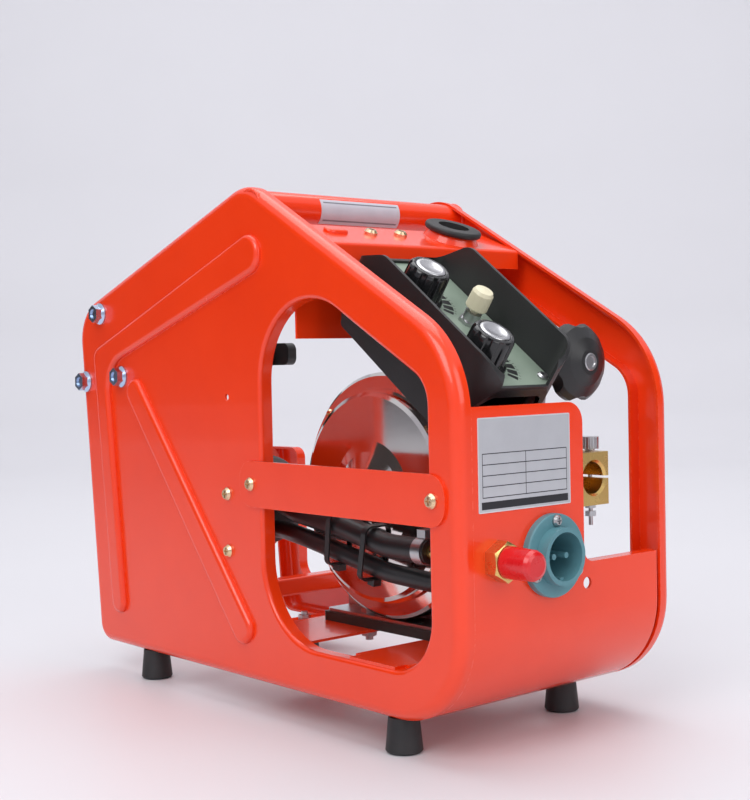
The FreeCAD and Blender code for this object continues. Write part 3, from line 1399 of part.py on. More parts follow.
def button_collar():
    """Threaded collar and nut round the push button."""
    top = box_plate + 9.0
    nut = plate_z(hexagon(button_x, button_place, 14.0), 0.0, box_plate, box_plate + 2.5)
    ring = rod_z(button_x, button_place, 6.1, box_plate - 14.0, top)
    collar = fused([nut, ring])
    return tilted(collar.cut(rod_z(button_x, button_place, 3.0 + running_gap, box_plate - 15.0, top + 1.0)))


def inch_button():
    """Push button cap on its stem."""
    low = box_plate + 9.0 + button_travel + fit_gap
    cap = turned_z([(0.0, low), (button_radius - 0.4, low), (button_radius, low + 0.8),
                    (button_radius - 0.3, low + 12.0), (button_radius - 1.6, low + 14.3),
                    (0.0, low + 15.0)], button_x, button_place)
    return tilted(fused([cap, rod_z(button_x, button_place, 3.0, box_plate - 10.0, low + 1.0)]))


# ---------------------------------------------------------------------------
# Spool hub
# ---------------------------------------------------------------------------
hub_x0 = left + 50.0
hub_x1 = right - hub_end_inset


def hub_bracket():
    """Plate bolted inside the left panel with the spool axle welded to it."""
    corners = [(hub_y - 42.0, hub_z - 33.0), (hub_y + 36.0, hub_z - 33.0), (hub_y + 36.0, hub_z + 2.0),
               (hub_y + 14.0, hub_z + 48.0), (hub_y - 14.0, hub_z + 48.0)]
    plate = plate_x(corners, 9.0, left + sheet, left + sheet + 4.0).common(tray_inside(0.0))
    spacer = rod_x(hub_y, hub_z, 14.0, left + sheet + 3.0, hub_x0 - 1.0)
    axle = rod_x(hub_y, hub_z, axle_radius, left + sheet + 3.0, hub_x1 + 9.5)
    bracket = fused([plate, spacer, axle])
    for y, z in hub_bolt_places():
        bracket = bracket.cut(rod_x(y, z, 4.0, left, left + 20.0))
    return bracket


def spool_hub():
    """Moulded hub with a back flange, ribs and a drive peg."""
    flange = rod_x(hub_y, hub_z, 42.0, hub_x0, hub_x0 + 5.0)
    barrel = rod_x(hub_y, hub_z, hub_radius, hub_x0, hub_x1 - 8.0)
    nose = Part.makeCone(hub_radius, hub_radius - 5.0, 8.0, V(hub_x1 - 8.0, hub_y, hub_z), V(1, 0, 0))
    hub = fused([flange, barrel, nose])
    for k in range(8):
        t = 2.0 * math.pi * (k + 0.5) / 8
        groove = box(hub_x0 + 8.0, hub_x1 - 12.0, -2.5, 2.5, hub_radius - 3.0, hub_radius + 3.0)
        groove.rotate(V(0, 0, 0), V(1, 0, 0), math.degrees(t))
        groove.translate(V(0, hub_y, hub_z))
        hub = hub.cut(groove)
    peg = rod_x(hub_y, hub_z + 34.0, 4.5, hub_x0 + 4.0, hub_x0 + 20.0)
    hub = hub.fuse(peg).removeSplitter()
    return hub.cut(rod_x(hub_y, hub_z, axle_radius + running_gap, hub_x0 - 1.0, hub_x1 + 1.0))


def hub_lock():
    """Turn tab on the axle's end that keeps the spool on the hub, with its bright clip."""
    x0 = hub_x1 + fit_gap
    tab = plate_x(rectangle(hub_y - 41.0, hub_y + 20.0, hub_z - 10.0, hub_z + 10.0),
                  [7.0, 9.5, 9.5, 7.0], x0, x0 + 9.0)
    clip = rod_x(hub_y - 33.0, hub_z + 2.0, 4.0, x0 + 9.0, x0 + 11.5)
    return fused([tab, clip]).cut(rod_x(hub_y, hub_z, axle_radius + running_gap, x0 - 1.0, hub_x1 + 12.0))


# ---------------------------------------------------------------------------
# Nodes
# ---------------------------------------------------------------------------
def build_nodes():
    """Every node's shape, still in the frame of the driving dimensions."""
    makers = [left_side_panel, right_side_frame, front_panel, handle_tube, handle_label,
              top_cross_channel, cable_grommet, window_strap, panel_screws, hub_bracket_bolts,
              nameplate, rubber_feet, foot_bolts, front_cross_plate, rear_cross_plate,
              rear_cross_rail, insulating_plate, motor_bracket, mount_bolts, motor_cover,
              motor_body, motor_rim_screws, motor_rotor, drive_gear, drive_shaft, gearbox_housing,
              shaft_bearings, feed_plate, hinge_pins, drive_roll, roll_retainer, wire_guides,
              pressure_arm, pressure_roll, tension_rod, tension_spring, tension_knob,
              torch_clamp_block, clamp_screw, clamp_nuts, gas_inlet, gas_cap, control_socket,
              small_screws, boot_bracket, hose_boot, gas_hose, control_lead, cable_ties, hose_clamp,
              control_box,
              control_plate, potentiometers, button_collar, inch_button, hub_bracket, spool_hub,
              hub_lock]
    shapes = {maker.__name__: maker() for maker in makers}
    for name, place in zip(("voltage_knob", "current_knob"), knob_places):
        shapes[name] = control_knob(place)
    return shapes


def frame_shift(shapes):
    """Move that puts the origin at the bottom centre of the whole object's box."""
    boxes = [shape.optimalBoundingBox(True, False) for shape in shapes.values()]
    x0, x1 = min(b.XMin for b in boxes), max(b.XMax for b in boxes)
    y0, y1 = min(b.YMin for b in boxes), max(b.YMax for b in boxes)
    return V(-(x0 + x1) / 2.0, -(y0 + y1) / 2.0, -min(b.ZMin for b in boxes))


def main():
    os.makedirs("parts", exist_ok=True)
    shapes = build_nodes()
    shift = frame_shift(shapes)
    for name, shape in shapes.items():
        moved = shape.copy()
        moved.translate(shift)
        moved.exportStep("parts/" + name + ".step")
    print("nodes %d, shift %s" % (len(shapes), tuple(round(c, 4) for c in shift)))


if __name__ == "__main__":
    main()
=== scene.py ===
"""Looks of an open-frame wire feeder: finishes, modelled trims, studio and camera.

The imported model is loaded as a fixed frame.  Each sub-assembly is a class that dresses its own
parts and models what the frame leaves plain: fluted knobs, the coil spring and the weld beads.
"""

import json
import logging
import math
from dataclasses import dataclass, field
from enum import Enum
from typing import Any, Callable, Iterable, Optional, Sequence, Union

import bmesh
import bpy
from mathutils import Matrix, Vector


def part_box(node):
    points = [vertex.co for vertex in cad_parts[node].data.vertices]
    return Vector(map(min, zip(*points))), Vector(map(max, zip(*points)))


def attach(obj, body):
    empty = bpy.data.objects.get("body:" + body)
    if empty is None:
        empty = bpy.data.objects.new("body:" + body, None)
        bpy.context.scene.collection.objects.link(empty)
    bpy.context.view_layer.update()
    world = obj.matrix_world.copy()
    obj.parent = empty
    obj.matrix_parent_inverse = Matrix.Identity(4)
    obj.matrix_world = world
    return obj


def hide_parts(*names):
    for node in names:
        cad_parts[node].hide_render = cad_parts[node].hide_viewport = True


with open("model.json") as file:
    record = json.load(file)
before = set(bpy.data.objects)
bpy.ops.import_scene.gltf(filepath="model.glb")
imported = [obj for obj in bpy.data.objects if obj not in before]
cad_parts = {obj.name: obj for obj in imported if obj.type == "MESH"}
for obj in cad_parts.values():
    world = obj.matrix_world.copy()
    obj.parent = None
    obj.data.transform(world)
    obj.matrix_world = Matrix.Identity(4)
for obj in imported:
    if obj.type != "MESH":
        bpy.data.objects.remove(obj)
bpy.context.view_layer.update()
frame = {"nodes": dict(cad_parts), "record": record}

logging.basicConfig(level=logging.INFO, format="%(message)s")
log = logging.getLogger("feeder")

Colour = tuple[float, float, float]
Number = Union[int, float]


# ---------------------------------------------------------------------------
# Shader maths
# ---------------------------------------------------------------------------
class Field:
    """A value socket that can be used in Python expressions."""

    def __init__(self, shade: "Shade", socket: bpy.types.NodeSocket) -> None:
        """Wraps a socket.

        Args:
            shade: The material builder that owns the node.
            socket: The output socket.
        """
        self.shade = shade
        self.socket = socket

    def _math(self, operation: str, first: Any, second: Any) -> "Field":
        """One Math node.

        Args:
            operation: The node's operation.
            first: Left value or field.
            second: Right value or field.

        Returns:
            The result as a field.
        """
        return self.shade.node("ShaderNodeMath", {"operation": operation}, {0: first, 1: second})

    def __add__(self, other: Any) -> "Field":
        """Sum."""
        return self._math("ADD", self, other)

    def __radd__(self, other: Any) -> "Field":
        """Sum with a number on the left."""
        return self._math("ADD", other, self)

    def __sub__(self, other: Any) -> "Field":
        """Difference."""
        return self._math("SUBTRACT", self, other)

    def __rsub__(self, other: Any) -> "Field":
        """Difference with a number on the left."""
        return self._math("SUBTRACT", other, self)

    def __mul__(self, other: Any) -> "Field":
        """Product."""
        return self._math("MULTIPLY", self, other)

    def __rmul__(self, other: Any) -> "Field":
        """Product with a number on the left."""
        return self._math("MULTIPLY", other, self)

    def __truediv__(self, other: Any) -> "Field":
        """Quotient."""
        return self._math("DIVIDE", self, other)

    def __pow__(self, other: Any) -> "Field":
        """Power."""
        return self._math("POWER", self, other)

    def above(self, limit: Any) -> "Field":
        """1 where the field is greater than the limit, else 0."""
        return self._math("GREATER_THAN", self, limit)

    def below(self, limit: Any) -> "Field":
        """1 where the field is less than the limit, else 0."""
        return self._math("LESS_THAN", self, limit)

    def within(self, low: Any, high: Any) -> "Field":
        """1 between two limits, else 0."""
        return self.above(low) * self.below(high)

    def either(self, other: Any) -> "Field":
        """The larger of two fields."""
        return self._math("MAXIMUM", self, other)

    def wave(self, turns: float) -> "Field":
        """Sine of the field, with that many turns per unit."""
        angle = self * (2.0 * math.pi * turns)
        return angle._math("SINE", angle, 0.0)


class Shade:
    """Builds one material out of nodes."""

    def __init__(self, name: str) -> None:
        """Starts an empty node material.

        Args:
            name: Material name.
        """
        self.material = bpy.data.materials.new(name)
        self.material.use_nodes = True
        self.tree = self.material.node_tree
        self.tree.nodes.clear()
        self.output = self.tree.nodes.new("ShaderNodeOutputMaterial")

    def node(self, kind: str, settings: Optional[dict[str, Any]] = None,
             sockets: Optional[dict[Any, Any]] = None, result: Union[int, str] = 0) -> Field:
        """Adds a node.

        Args:
            kind: Node type name.
            settings: Properties to set first; "stops" fills a colour ramp.
            sockets: Input values or fields by name or number.
            result: Which output to hand back.

        Returns:
            The chosen output.
        """
        made = self.tree.nodes.new(kind)
        for key, value in (settings or {}).items():
            if key == "stops":
                self._ramp(made, value)
            else:
                setattr(made, key, value)
        for key, value in (sockets or {}).items():
            target = made.inputs[key]
            if isinstance(value, Field):
                self.tree.links.new(value.socket, target)
            else:
                target.default_value = value
        return Field(self, made.outputs[result])

    @staticmethod
    def _ramp(made: bpy.types.Node, stops: Sequence[tuple[float, Colour]]) -> None:
        """Fills a colour ramp.

        Args:
            made: The ramp node.
            stops: Position and colour of each stop.
        """
        elements = made.color_ramp.elements
        while len(elements) > len(stops):
            elements.remove(elements[-1])
        while len(elements) < len(stops):
            elements.new(1.0)
        for element, (place, colour) in zip(elements, stops):
            element.position = place
            element.color = (*colour, 1.0)

    def place(self) -> Field:
        """Object coordinates, in metres in the row frame."""
        return self.node("ShaderNodeTexCoord", result="Object")

    def axes(self) -> tuple[Field, Field, Field]:
        """The x, y and z of the object coordinates."""
        split = self.node("ShaderNodeSeparateXYZ", None, {0: self.place()})
        outputs = split.socket.node.outputs
        return Field(self, outputs[0]), Field(self, outputs[1]), Field(self, outputs[2])

    def noise(self, scale: float, detail: float = 4.0, rough: float = 0.55,
              stretch: Optional[tuple[float, float, float]] = None) -> Field:
        """Noise on object coordinates.

        Args:
            scale: Features per metre.
            detail: Number of octaves.
            rough: Strength of the fine octaves.
            stretch: Scale of each axis, for brushed or drawn surfaces.

        Returns:
            The noise, about 0.5 on average.
        """
        where = self.place()
        if stretch:
            where = self.node("ShaderNodeMapping", None, {0: where, "Scale": stretch})
        return self.node("ShaderNodeTexNoise", None,
                         {"Vector": where, "Scale": scale, "Detail": detail, "Roughness": rough})

    def ramp(self, value: Field, low: float, high: float) -> Field:
        """The value stretched so that low is 0 and high is 1, clamped."""
        return self.node("ShaderNodeMapRange", {"clamp": True},
                         {"Value": value, "From Min": low, "From Max": high})

    def mix(self, share: Any, first: Any, second: Any) -> Field:
        """Blends two colours.

        Args:
            share: Share of the second, as a field.
            first: Colour or field.
            second: Colour or field.

        Returns:
            The blend.
        """
        made = self.tree.nodes.new("ShaderNodeMix")
        made.data_type = "RGBA"
        targets = {0: share, 6: first, 7: second}
        for number, value in targets.items():
            if isinstance(value, Field):
                self.tree.links.new(value.socket, made.inputs[number])
            elif number == 0:
                made.inputs[number].default_value = value
            else:
                made.inputs[number].default_value = (*value, 1.0)
        return Field(self, made.outputs[2])

    def edges(self, radius: float) -> Field:
        """1 on sharp edges and 0 on flat faces.

        Args:
            radius: Width of the edge band, in metres.

        Returns:
            The mask.
        """
        soft = self.node("ShaderNodeBevel", {"samples": 4}, {"Radius": radius})
        true = self.node("ShaderNodeNewGeometry", None, None, "Normal")
        agree = self.node("ShaderNodeVectorMath", {"operation": "DOT_PRODUCT"}, {0: soft, 1: true},
                          "Value")
        return self.ramp(1.0 - agree, 0.01, 0.12)

    def bump(self, height: Field, depth: float, before: Optional[Field] = None) -> Field:
        """A bumped normal.

        Args:
            height: Height field, 0 to 1.
            depth: Depth of a step of 1, in metres.
            before: An earlier bump to add to.

        Returns:
            The normal.
        """
        sockets: dict[Any, Any] = {"Height": height, "Distance": depth, "Strength": 1.0}
        if before:
            sockets["Normal"] = before
        return self.node("ShaderNodeBump", None, sockets)

    def finish(self, values: dict[str, Any]) -> bpy.types.Material:
        """Adds the surface shader.

        Args:
            values: Sockets of the Principled shader.

        Returns:
            The finished material.
        """
        colours = {key: (*value, 1.0) if isinstance(value, tuple) and len(value) == 3 else value
                   for key, value in values.items()}
        surface = self.node("ShaderNodeBsdfPrincipled", None, colours)
        self.tree.links.new(surface.socket, self.output.inputs[0])
        return self.material


# ---------------------------------------------------------------------------
# Finishes
# ---------------------------------------------------------------------------
class Texture(Enum):
    """What the fine relief of a finish looks like."""

    ORANGE_PEEL = "orange peel"
    GRAIN = "grain"
    BRUSHED = "brushed"
    CAST = "cast"
    SMOOTH = "smooth"


@dataclass(frozen=True)
class Finish:
    """A finish with colour drift, fine relief and rubbed edges."""

    name: str
    base: Colour
    drift: Colour
    roughness: float
    spread: float = 0.08
    metallic: float = 0.0
    coat: float = 0.0
    texture: Texture = Texture.SMOOTH
    relief: float = 0.00002
    edge: Optional[Colour] = None
    edge_width: float = 0.0006
    edge_share: float = 0.5
    specular: float = 0.5

    def relief_field(self, shade: Shade) -> Field:
        """The height field of this finish's texture.

        Args:
            shade: The material builder.

        Returns:
            Height, 0 to 1.
        """
        if self.texture is Texture.ORANGE_PEEL:
            return shade.noise(420.0, 2.0, 0.4)
        if self.texture is Texture.GRAIN:
            return shade.noise(1500.0, 3.0, 0.6)
        if self.texture is Texture.BRUSHED:
            return shade.noise(900.0, 3.0, 0.6, (0.04, 1.0, 1.0))
        if self.texture is Texture.CAST:
            return shade.noise(700.0, 5.0, 0.7)
        return shade.noise(260.0, 4.0, 0.6)

    def material(self) -> bpy.types.Material:
        """Builds the material."""
        shade = Shade(self.name)
        drift = shade.ramp(shade.noise(14.0, 5.0, 0.6), 0.35, 0.7)
        colour = shade.mix(drift, self.base, self.drift)
        roughness = self.roughness + (shade.noise(60.0, 6.0, 0.65) - 0.5) * self.spread
        metallic: Any = self.metallic
        if self.edge:
            scuffs = shade.ramp(shade.noise(220.0, 3.0, 0.7), 0.42, 0.7)
            worn = shade.edges(self.edge_width) * scuffs * self.edge_share
            colour = shade.mix(worn, colour, self.edge)
            roughness = roughness + worn * 0.2
        normal = shade.bump(self.relief_field(shade), self.relief)
        return shade.finish({"Base Color": colour, "Roughness": roughness, "Metallic": metallic,
                             "Coat Weight": self.coat, "Coat Roughness": 0.03,
                             "Specular IOR Level": self.specular, "Normal": normal})


PAINT = Finish("orange_red_paint", (0.93, 0.048, 0.004), (0.89, 0.043, 0.003), 0.26, 0.06, 0.0, 0.4,
               Texture.ORANGE_PEEL, 0.00003, (0.95, 0.26, 0.12), 0.0010, 0.30)
BLACK_PAINT = Finish("textured_black_paint", (0.018, 0.018, 0.019), (0.024, 0.024, 0.025), 0.42, 0.12,
                     0.0, 0.0, Texture.GRAIN, 0.00012, (0.16, 0.16, 0.16), 0.0005, 0.6)
RUBBER = Finish("black_rubber", (0.014, 0.014, 0.015), (0.026, 0.026, 0.027), 0.55, 0.2, 0.0, 0.0,
                Texture.GRAIN, 0.00004, (0.07, 0.07, 0.07), 0.0006, 0.5)
HOSE = Finish("hose_rubber", (0.012, 0.012, 0.013), (0.022, 0.022, 0.024), 0.36, 0.15, 0.0, 0.0,
              Texture.SMOOTH, 0.00004)
NYLON = Finish("black_nylon", (0.012, 0.012, 0.013), (0.022, 0.022, 0.023), 0.38, 0.12, 0.0, 0.0,
               Texture.GRAIN, 0.00005, (0.09, 0.09, 0.09), 0.0005, 0.5)
BOARD = Finish("pressed_board", (0.020, 0.017, 0.015), (0.034, 0.028, 0.024), 0.5, 0.15, 0.0, 0.0,
               Texture.BRUSHED, 0.00006)
KNOB = Finish("gloss_black_plastic", (0.008, 0.008, 0.009), (0.014, 0.014, 0.015), 0.2, 0.1, 0.0, 0.2,
              Texture.SMOOTH, 0.00001, (0.08, 0.08, 0.08), 0.0004, 0.4)
IVORY = Finish("ivory_plastic", (0.80, 0.76, 0.56), (0.74, 0.69, 0.48), 0.34, 0.1, 0.0, 0.1,
               Texture.SMOOTH, 0.00002, (0.9, 0.88, 0.76), 0.0005, 0.4)
NICKEL = Finish("bright_nickel", (0.83, 0.80, 0.77), (0.74, 0.71, 0.69), 0.10, 0.08, 1.0, 0.0,
                Texture.SMOOTH, 0.000012)
BLUE_ZINC = Finish("blue_zinc", (0.42, 0.56, 0.78), (0.68, 0.74, 0.86), 0.24, 0.14, 1.0, 0.0,
                   Texture.SMOOTH, 0.00003, (0.9, 0.9, 0.92), 0.0005, 0.5)
YELLOW_ZINC = Finish("yellow_zinc", (0.80, 0.64, 0.34), (0.86, 0.56, 0.42), 0.26, 0.14, 1.0, 0.0,
                     Texture.SMOOTH, 0.00003, (0.95, 0.9, 0.8), 0.0004, 0.5)
STEEL = Finish("ground_steel", (0.56, 0.56, 0.57), (0.46, 0.46, 0.47), 0.3, 0.16, 1.0, 0.0,
               Texture.BRUSHED, 0.00002, (0.85, 0.85, 0.86), 0.0004, 0.5)
CAST = Finish("cast_aluminium", (0.42, 0.42, 0.43), (0.32, 0.32, 0.33), 0.48, 0.15, 1.0, 0.0,
              Texture.CAST, 0.00012, (0.78, 0.78, 0.79), 0.0006, 0.6)
MILLED = Finish("milled_aluminium", (0.66, 0.66, 0.67), (0.56, 0.56, 0.58), 0.28, 0.12, 1.0, 0.0,
                Texture.BRUSHED, 0.00002, (0.9, 0.9, 0.9), 0.0005, 0.5)
BRASS = Finish("machined_brass", (0.78, 0.55, 0.20), (0.68, 0.44, 0.15), 0.27, 0.14, 1.0, 0.0,
               Texture.BRUSHED, 0.00002, (0.95, 0.8, 0.5), 0.0005, 0.6)
TEAL = Finish("teal_plastic", (0.115, 0.285, 0.325), (0.095, 0.245, 0.285), 0.42, 0.12, 0.0, 0.0,
              Texture.GRAIN, 0.00004, (0.28, 0.46, 0.5), 0.0006, 0.5)
RED_CAP = Finish("red_plastic", (0.72, 0.012, 0.016), (0.62, 0.008, 0.012), 0.28, 0.1, 0.0, 0.3,
                 Texture.SMOOTH, 0.00002, (0.9, 0.15, 0.15), 0.0006, 0.5)
WHITE_INK = Finish("white_line", (0.8, 0.8, 0.8), (0.72, 0.72, 0.72), 0.4, 0.1)

SLOT_FINISH: dict[str, Finish] = {
    "paint": PAINT, "black_paint": BLACK_PAINT, "rubber": RUBBER, "hose_rubber": HOSE,
    "nylon": NYLON, "phenolic": BOARD, "knob_black": KNOB, "ivory": IVORY, "red_cap": RED_CAP,
    "teal": TEAL, "nickel": NICKEL, "zinc_blue": BLUE_ZINC, "zinc_yellow": YELLOW_ZINC,
    "steel": STEEL, "cast": CAST, "machined": MILLED, "brass": BRASS,
}


class Wardrobe:
    """Makes each material once and puts it on objects."""

    def __init__(self) -> None:
        """Starts with no materials made."""
        self.made: dict[str, bpy.types.Material] = {}

    def get(self, finish: Finish) -> bpy.types.Material:
        """The material of a finish."""
        if finish.name not in self.made:
            self.made[finish.name] = finish.material()
        return self.made[finish.name]

    def wear(self, thing: bpy.types.Object, material: bpy.types.Material) -> None:
        """Gives an object one material.

        Args:
            thing: The object.
            material: Its new material.
        """
        thing.data.materials.clear()
        thing.data.materials.append(material)


WARDROBE = Wardrobe()


# ---------------------------------------------------------------------------
# Modelling
# ---------------------------------------------------------------------------
def middle_of(node: str) -> Vector:
    """Centre of a node's box."""
    low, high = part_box(node)
    return (Vector(low) + Vector(high)) / 2.0


def facing(axis: Vector) -> Matrix:
    """A turn that takes +Z to an axis."""
    return Vector((0.0, 0.0, 1.0)).rotation_difference(axis.normalized()).to_matrix().to_4x4()


class Bench:
    """Modelling steps on the object being made."""

    @staticmethod
    def clear() -> None:
        """Leaves nothing selected and object mode on."""
        if bpy.context.mode != "OBJECT":
            bpy.ops.object.mode_set(mode="OBJECT")
        bpy.ops.object.select_all(action="DESELECT")

    @staticmethod
    def name(title: str) -> bpy.types.Object:
        """Names the active object and its mesh.

        Args:
            title: The new name.

        Returns:
            The object.
        """
        thing = bpy.context.object
        thing.name = title
        thing.data.name = title
        return thing

    @staticmethod
    def turned(title: str, profile: Sequence[tuple[float, float]], steps: int = 64) -> bpy.types.Object:
        """A turned piece about Z: a disc extruded ring by ring.

        Args:
            title: Object name.
            profile: (radius, z) of each ring, from the bottom up.
            steps: Segments round.

        Returns:
            The closed object.
        """
        Bench.clear()
        radius, height = profile[0]
        bpy.ops.mesh.primitive_circle_add(vertices=steps, radius=radius, fill_type="NGON",
                                          location=(0.0, 0.0, height))
        thing = Bench.name(title)
        bpy.ops.object.transform_apply(location=True, rotation=False, scale=False)
        bpy.ops.object.mode_set(mode="EDIT")
        bpy.ops.mesh.select_all(action="SELECT")
        for following, level in profile[1:]:
            bpy.ops.mesh.extrude_region_move(
                TRANSFORM_OT_translate={"value": (0.0, 0.0, level - height)})
            factor = following / radius
            bpy.ops.transform.resize(value=(factor, factor, 1.0), center_override=(0.0, 0.0, level))
            radius, height = following, level
        bpy.ops.mesh.select_all(action="SELECT")
        bpy.ops.mesh.normals_make_consistent(inside=False)
        bpy.ops.object.mode_set(mode="OBJECT")
        return thing

    @staticmethod
    def select_verts(thing: bpy.types.Object, wanted: Callable[[Vector], bool]) -> int:
        """Selects vertices by place, in edit mode.

        Args:
            thing: The object in edit mode.
            wanted: Test on the vertex place.

        Returns:
            How many are selected.
        """
        bpy.ops.mesh.select_mode(type="VERT")
        bpy.ops.mesh.select_all(action="DESELECT")
        mesh = bmesh.from_edit_mesh(thing.data)
        count = 0
        for vertex in mesh.verts:
            if wanted(vertex.co):
                vertex.select = True
                count += 1
        mesh.select_flush(True)
        bmesh.update_edit_mesh(thing.data)
        return count

    @staticmethod
    def soften(thing: bpy.types.Object, width: float, segments: int = 2, angle: float = 35.0) -> None:
        """Bevels sharp edges and smooths the shading.

        Args:
            thing: The object.
            width: Bevel width in metres.
            segments: Bevel segments.
            angle: Smallest edge angle in degrees.
        """
        Bench.clear()
        thing.select_set(True)
        bpy.context.view_layer.objects.active = thing
        if width > 0.0:
            bevel = thing.modifiers.new("bevel", "BEVEL")
            bevel.width = width
            bevel.segments = segments
            bevel.limit_method = "ANGLE"
            bevel.angle_limit = math.radians(angle)
            bpy.ops.object.modifier_apply(modifier=bevel.name)
        bpy.ops.object.shade_smooth_by_angle(angle=math.radians(40.0))

    @staticmethod
    def put(thing: bpy.types.Object, place: Matrix) -> None:
        """Moves the mesh into place and leaves the object at the origin.

        Args:
            thing: The object.
            place: Where it goes.
        """
        Bench.clear()
        thing.select_set(True)
        bpy.context.view_layer.objects.active = thing
        thing.matrix_world = place
        bpy.ops.object.transform_apply(location=True, rotation=True, scale=True)

    @staticmethod
    def ready(thing: bpy.types.Object, finish: Finish, slot: str, body: str) -> bpy.types.Object:
        """Dresses a finished piece and fixes it to a body.

        Args:
            thing: The object.
            finish: Its finish.
            slot: Record material slot it belongs to; not used.
            body: The body it rides on.

        Returns:
            The object.
        """
        WARDROBE.wear(thing, WARDROBE.get(finish))
        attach(thing, body)
        log.info("piece %s rides on %s", thing.name, body)
        return thing


# ---------------------------------------------------------------------------
# Printed surfaces
# ---------------------------------------------------------------------------
@dataclass(frozen=True)
class RatingPlate:
    """Blank ruled plate on the front: a silver film with a dark border and empty rows."""

    node: str = "nameplate"

    def material(self) -> bpy.types.Material:
        """Silver film with ruled rows and two blank bands."""
        low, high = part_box(self.node)
        shade = Shade("ruled_silver_film")
        x, _, z = shade.axes()
        across = (x - low[0]) / (high[0] - low[0])
        up = (z - low[2]) / (high[2] - low[2])
        rows = up.within(0.155, 0.165)
        for level in (0.27, 0.385, 0.50, 0.615):
            rows = rows.either(up.within(level, level + 0.01))
        rows = rows * across.within(0.04, 0.96)
        posts = across.within(0.04, 0.046).either(across.within(0.955, 0.961))
        posts = posts.either(across.within(0.50, 0.506)) * up.within(0.155, 0.62)
        band = across.within(0.03, 0.97) * up.within(0.035, 0.115)
        drift = shade.ramp(shade.noise(30.0, 4.0), 0.3, 0.7)
        film = shade.mix(drift, (0.60, 0.61, 0.64), (0.54, 0.55, 0.58))
        printed = shade.mix(rows.either(posts).either(band), film, (0.03, 0.03, 0.035))
        rim = 1.0 - across.within(0.008, 0.992) * up.within(0.012, 0.988)
        printed = shade.mix(rim, printed, (0.75, 0.75, 0.77))
        normal = shade.bump(shade.noise(900.0, 3.0, 0.5, (0.05, 1.0, 1.0)), 0.00001)
        return shade.finish({"Base Color": printed, "Roughness": 0.34 + rows * 0.15,
                             "Metallic": 0.35, "Normal": normal})


@dataclass(frozen=True)
class HandleLabel:
    """Blank film on the handle tube with a dark border."""

    node: str = "handle_label"

    def material(self) -> bpy.types.Material:
        """Pale film with two faint rules."""
        low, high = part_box(self.node)
        shade = Shade("pale_handle_film")
        x, _, z = shade.axes()
        across = (x - low[0]) / (high[0] - low[0])
        up = (z - low[2]) / (high[2] - low[2])
        rules = up.within(0.10, 0.16).either(up.within(0.84, 0.90)) * across.within(0.03, 0.97)
        drift = shade.ramp(shade.noise(40.0, 3.0), 0.35, 0.7)
        film = shade.mix(drift, (0.62, 0.62, 0.68), (0.55, 0.55, 0.61))
        printed = shade.mix(rules * 0.8, film, (0.10, 0.10, 0.12))
        normal = shade.bump(shade.noise(500.0, 2.0), 0.00001)
        return shade.finish({"Base Color": printed, "Roughness": 0.28 + drift * 0.06,
                             "Coat Weight": 0.4, "Normal": normal})


@dataclass(frozen=True)
class DialPlate:
    """Sage control plate with dark scale bands round both knobs."""

    node: str = "control_plate"
    tilt: float = math.radians(36.9)
    ring_inner: float = 0.0203
    ring_outer: float = 0.0280
    half_sweep: float = 2.4
    blocks: float = 22.0

    def material(self, centres: Sequence[tuple[float, float]]) -> bpy.types.Material:
        """Printed plate.

        Args:
            centres: (x, place along the slope) of each knob.

        Returns:
            The material.
        """
        shade = Shade("sage_dial_plate")
        x, y, z = shade.axes()
        along = y * math.cos(self.tilt) + z * math.sin(self.tilt)
        drift = shade.ramp(shade.noise(40.0, 4.0), 0.35, 0.7)
        ground = shade.mix(drift, (0.27, 0.34, 0.27), (0.23, 0.30, 0.235))
        dark: Any = 0.0
        for centre_x, centre_s in centres:
            across, up = x - centre_x, along - centre_s
            reach = (across * across + up * up) ** 0.5
            turn = shade.node("ShaderNodeMath", {"operation": "ARCTAN2"}, {0: across, 1: up})
            band = reach.within(self.ring_inner, self.ring_outer)
            band = band * (turn * turn).below(self.half_sweep ** 2)
            ticks = turn.wave(self.blocks / (2.0 * math.pi)).above(-0.72)
            fine = reach.within(self.ring_outer + 0.0006, self.ring_outer + 0.0022)
            fine = fine * turn.wave(8.0).above(0.9) * (turn * turn).below(self.half_sweep ** 2)
            dark = (band * ticks).either(fine).either(dark)
        colour = shade.mix(dark, ground, (0.015, 0.016, 0.016))
        normal = shade.bump(shade.noise(1100.0, 3.0, 0.6), 0.00002)
        return shade.finish({"Base Color": colour, "Roughness": 0.46 - dark * 0.12, "Normal": normal})


